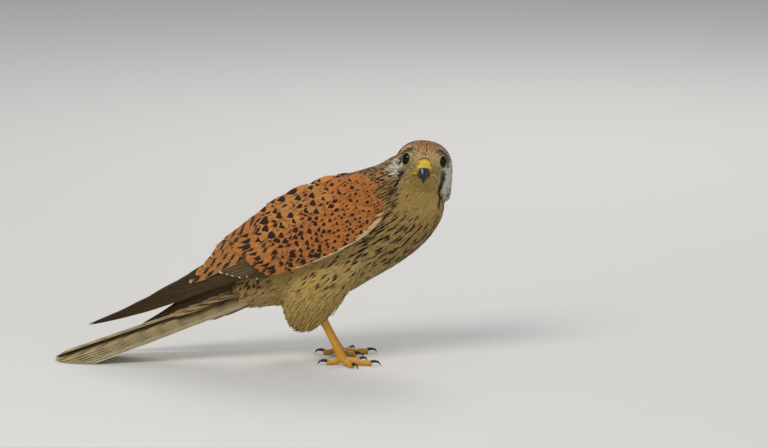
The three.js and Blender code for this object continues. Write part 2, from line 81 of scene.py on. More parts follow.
# Measures of the solids that the pieces here follow
HEAD_MIDDLE = (66.1, -5.0, 157.3)
HEAD_TURN, HEAD_PITCH, HEAD_ROLL = 89.0, 6.0, -5.0
EYE_RADIUS = 6.2
EYE_MIDDLE = (9.4, 11.6, 3.6)
EYE_AXIS = (math.cos(math.radians(50)), math.sin(math.radians(50)), 0.08)
LID_RADIUS = 4.7
SOCKET_RINGS = ((7, -7), (10.5, -4.2), (9.2, -2.6), (7.6, -1.0), (6.3, 0.2), (5.6, 0.5), (3.4, 0.4))
WRIST = (35.5, 0.0, 116.5)
WING_LENGTH = 251.0
WING_PLACES = (-8, 0, 15, 30, 60, 90, 120, 150, 180, 215, WING_LENGTH)
ROOF_HEIGHTS = (44, 47, 51, 51.5, 50, 43.5, 31, 23.5, 22, 25, 28)
ROOF_EAVES, ROOF_GIVE = 0.88, 0.11  # shares of the roof's height from which feathers bend to stay under it
WING_REACH = {
    "right": (28, 33.5, 37, 38.5, 39, 36, 30, 24.5, 21, 17.5, 16),
    "left": (28, 33.5, 37, 38.5, 39, 37.5, 34.5, 33, 33, 34, 35),
}
WING_DROP = {"right": 19.9, "left": 26.0}
CORE_END = 122.0
CORE_LOW = ((-8, 0, 15, 35, 60, 90, CORE_END), (11, 2, -5, -9.5, -12, -12.5, -8))
CORE_HIGH = ((-8, 0, 15, 35, 60, 85, 100, CORE_END), (33, 40, 46, 49, 48.5, 43, 33, 13))
CORE_OUTER = ((-8, 30, 60, 85, CORE_END), (0, 0, 1.4, 3.2, 5.6))
CORE_THICK = ((-8, 15, 60, 100, CORE_END), (3, 10, 11, 8, 6))
LAYER = 0.85
PRIMARIES = 10
PRIMARY_TIPS = ((170, 8.5), (188, 6), (206, 3.4), (225, 0.6), (238, -1.4), (WING_LENGTH, -2), (241, -4))
TAIL_ROOT = (-62.0, 0.0, 55.0)
TAIL_DROP = 19.6
TAIL_LENGTH = 172.0
TAIL_SHORTENING = (0, 1, 3, 7, 13, 21)
TAIL_HALF = 10.8
LEG_SPREAD = 20.0
LEG_SHIFT = {"right": 0.0, "left": -3.0}
BILL = (  # crown line, cutting edge and half width, in the head's own coordinates
    ((15.5, 4.8), (13.5, -4.8), 6),
    ((19.5, 3.9), (18.5, -5.6), 5.8),
    ((22.8, 2.6), (21.2, -6.4), 5.4),
    ((25.6, -0.6), (23.4, -7.4), 4.5),
    ((27.5, -4), (25, -8.6), 3.4),
    ((28.5, -7.4), (26.3, -10.2), 2.3),
    ((28.6, -10.8), (27.1, -12), 1.2),
    ((27.9, -13.7), (27.4, -13.5), 0.4),
)
MANDIBLE = (
    ((12.5, -5.8), (11.5, -9.8), 5.4),
    ((18, -6.4), (17.5, -10.6), 4.6),
    ((21.6, -7.6), (21.2, -10.9), 3.4),
    ((24.2, -9.2), (23.9, -10.8), 1.6),
)
CERE_SHARE, CERE_SLANT = 0.393, 0.064  # of the bill's length
NOSTRIL = (22.4, 4.9, 0.9)
GAPE = ((20, 5.2, -6.6), (18, 6.4, -6.6), (16, 8.2, -7.0), (13.8, 10.0, -8.0), (11.6, 11.6, -10.0))
TOES = {  # length, radius and the way it points, in degrees outwards from straight ahead
    "middle": (24, 2.3, 12),
    "inner": (16.5, 2.15, -32),
    "outer": (17, 2.05, 58),
    "hind": (12, 2.3, 172),
}
TOE_PADS = {"middle": 3, "inner": 2, "outer": 3, "hind": 1}
CLAW_LENGTH, CLAW_RADIUS = 8.5, 1.25
FLOOR_FLAT = 0.16
LEG_GRAIN = 0.42
SHANK_SCUTE, TOE_SCUTE = 2.3, 1.7

# The usual colours of the panel, in sRGB
USUAL = {
    "rufous": "#AE6C34",
    "buff": "#AA8E52",
    "brown": "#4A3A24",
    "markings": "#2A1A0D",
    "cere": "#DBBD33",
    "leg": "#D99C2E",
}

# The studio, in metres and watts
FLOOR_REACH, FLOOR_HEIGHT = 4.0, -0.0002
SKY, SKY_STRENGTH = (0.9, 0.93, 1.0, 1), 0.43
LIGHTS = (  # name, place, breadth, power and colour
    ("key", (-0.9, -1.4, 1.7), 1.1, 29, (1.0, 0.96, 0.9)),
    ("fill", (1.6, -1.3, 0.8), 1.2, 5, (0.95, 0.97, 1.0)),
    ("back", (0.4, 1.5, 1.5), 1.0, 14, (1.0, 0.98, 0.95)),
)
LIGHTS_AIM = (0.08, 0, 0.1)
CAMERA_AIM = (34.8, 0, 109.4)  # in millimetres on the bird
CAMERA_RISE = 9.5
CAMERA_SENSOR = 36

MADE = {}  # what one operator leaves for the next: the skin, and the coat's material, tree and vane

# The head's place: turned to the right, its bill a little raised, and rolled
HEAD_PLACE = (
    Matrix.Translation(HEAD_MIDDLE)
    @ Matrix.Rotation(math.radians(-HEAD_TURN), 4, "Z")
    @ Matrix.Rotation(math.radians(-HEAD_PITCH), 4, "Y")
    @ Matrix.Rotation(math.radians(HEAD_ROLL), 4, "X")
)
HEAD_ARRAY = np.array(HEAD_PLACE)
HEAD_INVERSE = np.array(HEAD_PLACE.inverted())
EYE_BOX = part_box("eye_left")
SHIFT = np.array((EYE_BOX[0] + EYE_BOX[1]) / 2) / MM - np.array(HEAD_PLACE @ Vector(EYE_MIDDLE))


def levels(hex_code):
    """The red, green and blue of an sRGB hex value, each from 0 to 1."""
    return tuple(int(hex_code[i : i + 2], 16) / 255 for i in (1, 3, 5))


def srgb(hex_code):
    """A linear colour from an sRGB hex value."""
    return tuple(c / 12.92 if c <= 0.04045 else ((c + 0.055) / 1.055) ** 2.4 for c in levels(hex_code))


def opaque(hex_code):
    """A linear colour with its alpha, as a node's colour input takes it."""
    return (*srgb(hex_code), 1)


def hex_of(colour):
    return "#" + "".join(f"{round(c * 255):02X}" for c in colour)


def from_head(points):
    """Points in the head's coordinates, placed on the bird."""
    placed = np.reshape(points, (-1, 3)) @ HEAD_ARRAY[:3, :3].T + HEAD_ARRAY[:3, 3]
    return placed.reshape(np.shape(points))


def into_head(points):
    """Points on the bird, in the head's coordinates."""
    return np.asarray(points, float) @ HEAD_INVERSE[:3, :3].T + HEAD_INVERSE[:3, 3]


def to_frame(points):
    """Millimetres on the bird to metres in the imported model."""
    return (np.asarray(points, float) + SHIFT) * MM


def from_frame(points):
    """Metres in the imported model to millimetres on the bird."""
    return np.asarray(points, float) / MM - SHIFT


def unit(vectors):
    """Vectors of the same ways, each 1 long."""
    vectors = np.asarray(vectors, float)
    return vectors / np.maximum(np.linalg.norm(vectors, axis=-1, keepdims=True), 1e-9)


def mix(a, b, share):
    return a + (b - a) * share


def smooth(low, high, values):
    """0 below low, 1 above high, and an even S between them."""
    t = np.clip((values - low) / (high - low), 0, 1)
    return t * t * (3 - 2 * t)


def through(values, t):
    """The curve through values that stand at even steps, at shares t of 0 to 1."""
    values = np.asarray(values, float)
    last = len(values) - 1
    place = np.clip(np.asarray(t, float), 0, 1) * last
    i = np.minimum(place.astype(int), last)
    w = place - i
    p1, p2 = values[i], values[np.minimum(i + 1, last)]
    p0, p3 = values[np.maximum(i - 1, 0)], values[np.minimum(i + 2, last)]
    if values.ndim > 1:
        w = w[..., None]
    v0, v1 = (p2 - p0) / 2, (p3 - p1) / 2
    return (2 * p1 - 2 * p2 + v0 + v1) * w**3 + (-3 * p1 + 3 * p2 - 2 * v0 - v1) * w**2 + v0 * w + p1


def through_places(table, place):
    """The curve through a table of places and the values there, at any place."""
    places, values = np.asarray(table[0], float), table[1]
    last = len(places) - 1
    i = np.clip(np.searchsorted(places, place), 1, last)
    share = np.clip((place - places[i - 1]) / (places[i] - places[i - 1]), 0, 1)
    return through(values, (i - 1 + share) / last)


def circle(count):
    """Angles at even steps round a full turn."""
    return np.linspace(0, 2 * np.pi, count, endpoint=False)


def ring_shares(rows, around, end=1.0):
    """How far along each point of a set of rings lies, from 0 to end."""
    return np.linspace(0, end, rows + 1)[:, None] * np.ones(around)


def span_rings(stations, rows, around, squareness, grow=0.0, slant=0.0, end=1.0):
    """Rings of points between an upper and a lower line, as the solids' own bodies have them."""
    t = ring_shares(rows, around, end)
    angle = circle(around) * np.ones((rows + 1, 1))
    up = np.sign(np.cos(angle)) * np.abs(np.cos(angle)) ** squareness
    side = np.sign(np.sin(angle)) * np.abs(np.sin(angle)) ** squareness
    t = np.clip(t + slant * up * np.minimum(1, t * 6), 0, 1)
    top, under, half = (through([station[k] for station in stations], t) for k in range(3))
    middle, reach = (top + under) / 2, (top - under) / 2
    length = np.linalg.norm(reach, axis=-1, keepdims=True)
    reach = reach * (1 + np.asarray(grow)[..., None] / np.maximum(length, 0.1))
    flat = middle + reach * up[..., None]
    return np.stack([flat[..., 0], side * (half + grow), flat[..., 1]], axis=-1)


def bar_rings(points, radii, rows, around):
    """Rings round a smooth line through points, with the radius changing along it."""
    t = np.linspace(0, 1, rows + 1)
    line = through(points, t)
    ahead = unit(through(points, np.minimum(1, t + 0.01)) - through(points, np.maximum(0, t - 0.01)))
    across = unit(np.cross((0, 1, 0), ahead))
    other = np.cross(ahead, across)
    angle = circle(around)[None, :, None]
    spoke = across[:, None] * np.cos(angle) + other[:, None] * np.sin(angle)
    return line[:, None] + spoke * through(radii, t)[:, None, None]


def ring_faces(rows, around):
    """Quads between rings, with both ends closed."""
    faces = []
    for r in range(rows):
        for i in range(around):
            j = (i + 1) % around
            faces.append((r * around + i, r * around + j, (r + 1) * around + j, (r + 1) * around + i))
    faces.append(tuple(reversed(range(around))))
    faces.append(tuple(rows * around + i for i in range(around)))
    return faces


def linked(name, data):
    """A new object in the scene."""
    obj = bpy.data.objects.new(name, data)
    bpy.context.collection.objects.link(obj)
    return obj


def new_object(name, points, faces, material=None, attributes=None):
    """A mesh object from points in millimetres, with its faces turned outwards."""
    mesh = bpy.data.meshes.new(name)
    mesh.from_pydata(to_frame(np.reshape(points, (-1, 3))).tolist(), [], faces)
    for key, values in (attributes or {}).items():
        add_attribute(mesh, key, values)
    turn_outwards(mesh)
    mesh.shade_smooth()
    if material:
        mesh.materials.append(material)
    return linked(name, mesh)


def ring_object(name, rings, material=None, attributes=None):
    """A closed mesh object over rings of points."""
    return new_object(name, rings, ring_faces(len(rings) - 1, rings.shape[1]), material, attributes)


def add_attribute(mesh, name, values):
    """Stores one, two or three numbers at each point of a mesh."""
    values = np.asarray(values, np.float32)
    kinds = {1: ("FLOAT", "value"), 2: ("FLOAT2", "vector"), 3: ("FLOAT_VECTOR", "vector")}
    kind, field = kinds[1 if values.ndim == 1 else values.shape[1]]
    made = mesh.attributes.new(name, kind, "POINT")
    made.data.foreach_set(field, values.ravel())


def turn_outwards(mesh):
    shape = bmesh.new()
    shape.from_mesh(mesh)
    bmesh.ops.recalc_face_normals(shape, faces=shape.faces)
    shape.to_mesh(mesh)
    shape.free()


def read(items, field, width, kind=np.float32):
    """A field of a mesh's items as an array with a row for each."""
    values = np.empty(len(items) * width, kind)
    items.foreach_get(field, values)
    return values.reshape(-1, width)


def mesh_points(mesh):
    return read(mesh.vertices, "co", 3).astype(float)


def mesh_normals(mesh):
    return read(mesh.vertex_normals, "vector", 3).astype(float)


def move_points(mesh, places):
    mesh.vertices.foreach_set("co", np.asarray(places, np.float32).ravel())
    mesh.update()


def set_material(mesh, material):
    mesh.shade_smooth()
    mesh.materials.clear()
    mesh.materials.append(material)


def select_only(*pieces):
    """Selects pieces and nothing else, with the first active."""
    bpy.ops.object.select_all(action="DESELECT")
    for piece in pieces:
        piece.select_set(True)
    bpy.context.view_layer.objects.active = pieces[0]


def join_objects(name, pieces):
    select_only(*pieces)
    bpy.ops.object.join()
    pieces[0].name = name
    pieces[0].data.name = name
    return pieces[0]


def evaluated_mesh(obj):
    """The plain mesh that obj's modifiers give, and obj removed."""
    mesh = bpy.data.meshes.new_from_object(obj.evaluated_get(bpy.context.evaluated_depsgraph_get()))
    bpy.data.objects.remove(obj)
    return mesh


def remeshed(name, obj, voxel):
    """obj as one even closed surface, the largest that it has, and obj removed."""
    remesh = obj.modifiers.new("even", "REMESH")
    remesh.mode = "VOXEL"
    remesh.voxel_size = voxel * MM
    mesh = evaluated_mesh(obj)
    shape = bmesh.new()
    shape.from_mesh(mesh)
    shape.verts.ensure_lookup_table()
    seen, best = set(), []
    for start in shape.verts:
        if start.index in seen:
            continue
        island, front = [start], [start]
        seen.add(start.index)
        while front:
            vert = front.pop()
            for edge in vert.link_edges:
                other = edge.other_vert(vert)
                if other.index not in seen:
                    seen.add(other.index)
                    island.append(other)
                    front.append(other)
        if len(island) > len(best):
            best = island
    keep = set(v.index for v in best)
    bmesh.ops.delete(shape, geom=[v for v in shape.verts if v.index not in keep], context="VERTS")
    shape.to_mesh(mesh)
    shape.free()
    mesh.name = name
    return linked(name, mesh)


HALF_WAY = 0.5


def relax(mesh, points, rounds, hold=None):
    """Evens points out, each round half way to the middle of their neighbours, and held where hold is 1."""
    a, b = read(mesh.edges, "vertices", 2, np.int32).T
    size = len(points)
    count = np.bincount(a, minlength=size) + np.bincount(b, minlength=size)
    free = HALF_WAY * (1 if hold is None else (1 - hold)[:, None])
    for _ in range(rounds):
        sums = [np.bincount(a, line[b], size) + np.bincount(b, line[a], size) for line in points.T]
        total = np.stack(sums, axis=1)
        points = points + (total / np.maximum(count, 1)[:, None] - points) * free
    return points


def finish_piece(obj, material_slot, *replaced):
    """Sets a piece on the body that it rides on, and hides the solids that it stands in for."""
    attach(obj, "root")
    if replaced:
        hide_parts(*replaced)


def node(tree, kind, inputs=(), **settings):
    """Adds a node with its settings and links: each input, by name or in order, gets a value, a socket or the
    first output of a node."""
    made = tree.nodes.new(kind)
    for name, value in settings.items():
        setattr(made, name, value)
    for key, value in inputs.items() if isinstance(inputs, dict) else enumerate(inputs):
        if isinstance(value, bpy.types.Node):
            value = value.outputs[0]
        if isinstance(value, bpy.types.NodeSocket):
            tree.links.new(value, made.inputs[key])
        else:
            made.inputs[key].default_value = value
    return made


def new_material(name):
    """An empty node material and its tree."""
    material = bpy.data.materials.new(name)
    material.use_nodes = True
    material.node_tree.nodes.clear()
    return material, material.node_tree


# Wings and tail as surfaces


def sloping_axes(drop):
    """The ways along and up from a line that slopes down backwards by drop, in degrees."""
    down = math.radians(drop)
    return np.array((-math.cos(down), 0, -math.sin(down))), np.array((-math.sin(down), 0, math.cos(down)))


def wing_surface(name):
    """The folded wing's curved surface. Along runs from the wrist to the tip, across runs up from that line,
    and depth runs inwards from the outermost feathers."""
    side = SIDES[name]
    along_axis, across_axis = sloping_axes(WING_DROP[name])

    def bare(along, across):
        roof = through_places((WING_PLACES, ROOF_HEIGHTS), along)
        rise = across / roof
        over_eaves = ROOF_EAVES + ROOF_GIVE * np.tanh((rise - ROOF_EAVES) / ROOF_GIVE)
        rise = np.where(rise > ROOF_EAVES, over_eaves, rise)
        across = rise * roof
        over = np.sqrt(np.maximum(0.002, 1 - rise * rise))
        curve = np.where(across > 0, over, 1 - 0.55 * rise * rise)
        out = through_places((WING_PLACES, WING_REACH[name]), along) * curve * side
        flat = along[..., None] * along_axis + across[..., None] * across_axis
        return np.array(WRIST) + flat + out[..., None] * np.array((0, 1, 0))

    def place(along, across, depth):
        along, across, depth = np.broadcast_arrays(*(np.asarray(v, float) for v in (along, across, depth)))
        forward = bare(along + 0.5, across) - bare(along - 0.5, across)
        upward = bare(along, across + 0.5) - bare(along, across - 0.5)
        inward = unit(np.cross(forward, upward))
        inward = np.where(inward[..., 1:2] * side > 0, -inward, inward)
        return bare(along, across) + inward * depth[..., None]

    return place


def tail_surface(along, across, depth):
    """The tail as a slope that bends flat along the floor. Depth runs down from its middle feathers."""
    along, across, depth = np.broadcast_arrays(*(np.asarray(v, float) for v in (along, across, depth)))
    along_axis, up_axis = sloping_axes(TAIL_DROP)
    flat = along[..., None] * along_axis - depth[..., None] * up_axis
    points = np.array(TAIL_ROOT) + flat + across[..., None] * np.array((0, 1, 0))
    height = points[..., 2]
    points[..., 2] = np.where(height < 1, 1 - 0.92 * (1 - np.exp(height - 1)), height)
    return points


def rounded_end(s, widest, base, full):
    """A vane's half width, as a share: base at its root, 1 from full on, and rounded off past widest."""
    end = np.sqrt(np.clip(1 - ((s - widest) / (1 - widest)) ** 2, 0, 1))
    return np.where(s < widest, mix(base, 1, np.minimum(1, s / full)), end)


def round_tip(s):
    return rounded_end(s, 0.7, 0.6, 0.35)


def square_tip(s):
    return rounded_end(s, 0.93, 0.62, 0.6)


def pointed_tip(s):
    return np.where(s < 0.45, mix(0.7, 1, s / 0.45), np.clip(1 - ((s - 0.45) / 0.55) ** 1.9, 0, 1))


class Quills:
    """Gathers flight feathers and large coverts into one mesh, each a thin closed vane along its shaft."""

    def __init__(self):
        self.points, self.faces, self.vane, self.bake = [], [], [], []
        self.size, self.look = [], {key: [] for key in LOOK_FIELDS}

    def add(self, place, look, root, tip, half, patch, outline=round_tip, bow=0.0, tilt=0.0, rows=18,
            columns=8, crown=0.35, thick=0.4):
        """Adds one vane on a surface, from root to tip, each given along, across and into the surface."""
        # s runs along the vane, in closer rows towards its tip, and u across it
        s = 1 - (1 - np.linspace(0, 1, rows + 1)) ** 1.35
        u = np.linspace(-1, 1, columns + 1)
        grid_s, grid_u = np.meshgrid(s, u, indexing="ij")
        width = half * np.maximum(0.03, outline(grid_s))
        across = mix(root[1], tip[1], grid_s) + bow * np.sin(np.pi * grid_s) + grid_u * width
        along = mix(root[0], tip[0], grid_s)
        depth = mix(root[2], tip[2], grid_s) + grid_u * width * tilt - crown * (1 - grid_u**2) * half / 6
        edge = np.sqrt(np.clip(1 - grid_u**2, 0, 1)) * thick / 2 * mix(1, 0.5, grid_s)
        shaft = 0.22 * np.exp(-((grid_u * width / 0.45) ** 2)) * (1 - 0.8 * grid_s)
        top = place(along, across, depth - edge - shaft)
        under = place(along, across, depth + edge)[:, -2:0:-1]
        ring = np.concatenate([top, under], axis=1)
        around = ring.shape[1]
        ring_u = np.concatenate([grid_u, grid_u[:, -2:0:-1]], axis=1)
        ring_s = np.repeat(s[:, None], around, axis=1)
        first = sum(len(points) for points in self.points)
        self.faces += [tuple(first + i for i in face) for face in ring_faces(rows, around)]
        self.points.append(ring.reshape(-1, 3))
        self.vane.append(np.stack([ring_u, ring_s, 0 * ring_s], axis=-1).reshape(-1, 3))
        self.size.append(np.tile((half, math.dist(root[:2], tip[:2]), 0), (ring_s.size, 1)))
        for key in LOOK_FIELDS:
            self.look[key].append(np.tile(look[key], (ring_s.size, 1)))
        corner, breadth = patch
        mapped = [corner[0] + ring_s * breadth[0], corner[1] + (ring_u * 0.5 + 0.5) * breadth[1]]
        self.bake.append(np.stack(mapped, -1).reshape(-1, 2))

    def build(self, name, material):
        """All the vanes as one object."""
        parts = {"vane": self.vane, "size": self.size, **self.look}
        attributes = {key: np.concatenate(values) for key, values in parts.items()}
        obj = new_object(name, np.concatenate(self.points), self.faces, material, attributes)
        corners = read(obj.data.loops, "vertex_index", 1, np.int32)[:, 0]
        bake = np.concatenate(self.bake)[corners]
        layer = obj.data.uv_layers.new(name="OFBake")
        layer.uv.foreach_set("vector", bake.astype(np.float32).ravel())
        sharpen_vane_edges(obj.data)
        return obj


def sharpen_vane_edges(mesh):
    """Keeps a vane's two faces apart where they meet at its rim."""
    rim = np.abs(read(mesh.attributes["vane"].data, "vector", 3)[:, 0]) > 0.99
    a, b = read(mesh.edges, "vertices", 2, np.int32).T
    sharp = mesh.attributes.new("sharp_edge", "BOOLEAN", "EDGE")
    sharp.data.foreach_set("value", rim[a] & rim[b])


# How each kind of feather looks

LOOK_FIELDS = ("base", "mark", "edge", "streak", "spot", "bars", "trim", "tip")
PLAIN = {
    "streak": (0, 0.2, 0.9),
    "spot": (0.01, -1, 0.01),
    "bars": (0, 0, 0),
    "trim": (0.2, 0.15, 0),
    "tip": (0.9, 0, 0),
}


def look(base, mark="#2B1A10", edge=None, **changes):
    """Colours of a feather and the drawing on it.

    streak: half width as a share of the vane, start and end along it.
    spot: half width, middle and half height.
    bars: how many along the vane, strength, and how much of each is dark.
    trim: breadth of the fringe, its strength, and how dark the shaft is.
    tip: where a pale tip starts, and its strength.
    """
    made = {"base": srgb(base), "mark": srgb(mark), "edge": srgb(edge or base), **PLAIN, **changes}
    return {key: np.array(made[key], float) for key in LOOK_FIELDS}


USUAL_LOOKS = {
    "crown": look("#A8652C", "#2A190C", streak=(0.72, 0.0, 1.25)),
    "forehead": look("#C0AE7C", "#5E4423", streak=(0.42, 0.1, 1.2)),
    "brow": look("#BCA976", "#6A5230", streak=(0.35, 0.1, 1.2)),
    "lores": look("#9C8A56", "#5A4A2C", streak=(0.3, 0.1, 1.1)),
    "face": look("#C6C0AC", "#6E6252", streak=(0.4, 0.2, 1.2)),
    "ear": look("#8F7645", "#2A1D12", streak=(0.75, 0.1, 1.2)),
    "nape": look("#957340", "#3A2816", streak=(0.5, 0.2, 1.2)),
    "throat": look("#A58D4E"),
    "neck": look("#9A7E48", "#24170B", streak=(0.6, 0.15, 1.3), edge="#AD9157"),
    "breast": look("#9C804A", "#221508", streak=(0.6, 0.15, 1.3), edge="#AF9259"),
    "flank": look("#A48A54", "#2A1A0C", streak=(0.6, 0.45, 1.02), edge="#B59C64"),
    "belly": look("#A08650", "#4A3218", edge="#B0975F"),
    "trousers": look("#AC9050", "#3A2814", streak=(0.7, 0.5, 1.0), edge="#BBA062"),
    "vent": look("#A08858", edge="#B5A070"),
    "mantle": look("#AE7538", "#2B1A0C", spot=(0.8, 0.72, 0.2), edge="#C79F62", trim=(0.14, 0.5, 0.3)),
    "scapular": look("#B87A3C", "#2A1A0B", spot=(0.95, 0.74, 0.13), edge="#D3AE74", trim=(0.14, 0.7, 0.3)),
    "rump": look("#A5804C", "#3A2A1A", spot=(0.5, 0.75, 0.2), edge="#BFA270"),
    "lesser": look("#AF6A30", "#2B1A0C", spot=(0.6, 0.75, 0.14), edge="#C48C4E", trim=(0.25, 0.5, 0.35)),
    "median": look("#AD6A33", "#2E1C0D", spot=(0.8, 0.75, 0.15), edge="#C6925A", trim=(0.2, 0.6, 0.35)),
    "marginal": look("#CDB88C", "#6A4A2E", edge="#E0D2B0", trim=(0.3, 0.5, 0)),
    "greater": look("#AC6D34", "#2B1A0C", spot=(0.9, 0.82, 0.11), bars=(2.6, 0.9, 0.22), edge="#CDA56A",
                    trim=(0.1, 0.6, 0.4)),
    "primary covert": look("#4A3B26", "#241809", edge="#8A754C", trim=(0.06, 0.3, 0.5)),
    "tertial": look("#A86D36", "#2B1B0E", bars=(5.2, 0.95, 0.34), edge="#D6BC86", trim=(0.08, 0.8, 0.6),
                    tip=(0.96, 0.9, 0)),
    "secondary": look("#57442A", "#33260F", edge="#DCD0AC", trim=(0.1, 0.22, 0.5), tip=(0.935, 1.0, 0)),
    "primary": look("#3D2C16", "#1E1408", edge="#8A7446", trim=(0.13, 0.55, 0.5), tip=(0.975, 0.8, 0)),
    "tail": look("#AE976A", "#46351F", bars=(10, 0.7, 0.28), edge="#CFC096", trim=(0.22, 0.8, 0.25),
                 tip=(0.985, 0.9, 0)),
    "tail outer": look("#B8AB86", "#5E4D34", bars=(9, 0.5, 0.28), edge="#D8CCA8", trim=(0.3, 0.8, 0.2),
                       tip=(0.985, 0.9, 0)),
    "tail covert": look("#A58450", "#3A2A18", spot=(0.6, 0.7, 0.14), edge="#C2A770", trim=(0.12, 0.4, 0.4)),
}
FAMILIES = {
    "rufous": ("crown", "mantle", "scapular", "lesser", "median", "greater", "tertial"),
    "buff": ("forehead", "brow", "lores", "ear", "nape", "throat", "neck", "breast", "flank", "belly",
             "trousers", "vent", "rump", "tail", "tail covert"),
    "brown": ("primary covert", "secondary", "primary"),
}
LOOKS = dict(USUAL_LOOKS)


def recolour(colours):
    """Sets every look by the colours of the panel, as a share of the usual ones."""
    shares = {
        family: np.array(srgb(hex_of(getattr(colours, family)))) / srgb(USUAL[family])
        for family in (*FAMILIES, "markings")
    }
    for kind, drawn in USUAL_LOOKS.items():
        LOOKS[kind] = {**drawn, "mark": drawn["mark"] * shares["markings"]}
    for family, kinds in FAMILIES.items():
        for kind in kinds:
            for key in ("base", "edge"):
                LOOKS[kind][key] = USUAL_LOOKS[kind][key] * shares[family]


DARK_MALAR = srgb("#241D1C")
# Painted shade under the overhanging brow and upper lid, also the colour of the cheek's own dark edge
BROW_SHADE_AND_CHEEK_EDGE = srgb("#34241A")
PALE_CHEEK = srgb("#C8C3B2")
PALE_BROW = srgb("#BFAF84")

# Tracts of small feathers. Each names its look and gives a place on the bird, the way its feathers lie, the
# space between them, their length, their half width and how far their tips stand out. Places and ways of the
# face are in the head's coordinates. All but those on the middle line are on both sides.
FACE_TRACTS = (
    ("forehead", (17, 0, 6.5), (-0.6, 0, 0.7), 1.1, 3.4, 0.6, 0.35),
    ("forehead", (16, 5, 7.5), (-0.75, 0.2, 0.6), 1.1, 3.6, 0.6, 0.35),
    ("brow", (13.5, 10, 8.5), (-0.85, 0.4, 0.25), 1.1, 3.6, 0.65, 0.35),
    ("crown", (15, 0, 12.5), (-0.85, 0, 0.5), 1.15, 5.2, 0.62, 0.4),
    ("crown", (13.5, 7, 12.5), (-0.9, 0.15, 0.4), 1.15, 5.2, 0.62, 0.4),
    ("crown", (9, 13, 13), (-0.95, 0.2, 0.15), 1.15, 5.2, 0.62, 0.4),
    ("crown", (8, 3, 17), (-0.95, 0, 0.2), 1.2, 5.6, 0.66, 0.4),
    ("crown", (1, 17.5, 13), (-1, 0.1, -0.05), 1.25, 5.8, 0.7, 0.45),
    ("crown", (-2, 5, 19), (-1, 0, 0), 1.5, 6.2, 0.85, 0.45),
    ("crown", (-14, 6, 17.5), (-1, 0, -0.3), 2.1, 6.8, 1.3, 0.55),
    ("nape", (-12, 16, 12), (-0.8, 0.1, -0.5), 2.1, 7.0, 1.3, 0.7),
    ("nape", (-22, 0, 10), (-0.6, 0, -0.8), 2.4, 7.5, 1.5, 0.7),
    ("nape", (-20, 17, 3), (-0.6, 0.1, -0.8), 2.3, 7.5, 1.4, 0.8),
    ("nape", (-26, 0, -6), (-0.2, 0, -1), 2.6, 8.0, 1.8, 0.8),
    ("lores", (15, 9, 1), (-0.3, 0.6, 0.1), 1.0, 2.8, 0.45, 0.3),
    ("lores", (13, 10.5, -4.5), (-0.5, 0.6, -0.5), 1.1, 3.2, 0.55, 0.3),
    ("face", (8, 17, -4), (-0.7, 0.3, -0.7), 1.2, 4.2, 0.65, 0.4),
    ("face", (1, 21, 0), (-0.8, 0.1, -0.5), 1.3, 5.0, 0.75, 0.5),
    ("face", (1, 20.5, -10), (-0.6, 0.1, -0.8), 1.4, 5.8, 0.75, 0.6),
    ("face", (0, 21, -20), (-0.4, 0.1, -0.9), 1.6, 6.8, 0.85, 0.8),
    ("ear", (-9, 24, -3), (-0.7, 0, -0.7), 1.7, 6.4, 0.95, 0.7),
    ("ear", (-8, 23.5, -14), (-0.5, 0.1, -0.85), 1.7, 6.8, 1.0, 0.8),
    ("ear", (-8, 23.5, -25), (-0.4, 0.1, -0.9), 1.8, 7.4, 1.0, 1.0),
    ("ear", (-6, 21.5, 7), (-0.9, 0.1, -0.2), 1.6, 5.6, 1.0, 0.5),
    ("throat", (14, 4, -11.5), (-0.4, 0.1, -0.9), 1.2, 4.6, 0.6, 0.4),
    ("throat", (10, 9, -14), (-0.4, 0.2, -0.9), 1.4, 5.4, 0.7, 0.45),
    ("throat", (7, 0, -20), (-0.5, 0, -0.9), 1.6, 6.6, 0.8, 0.55),
    ("throat", (4, 12, -24), (-0.4, 0.2, -0.9), 1.7, 7.0, 0.85, 0.6),
)
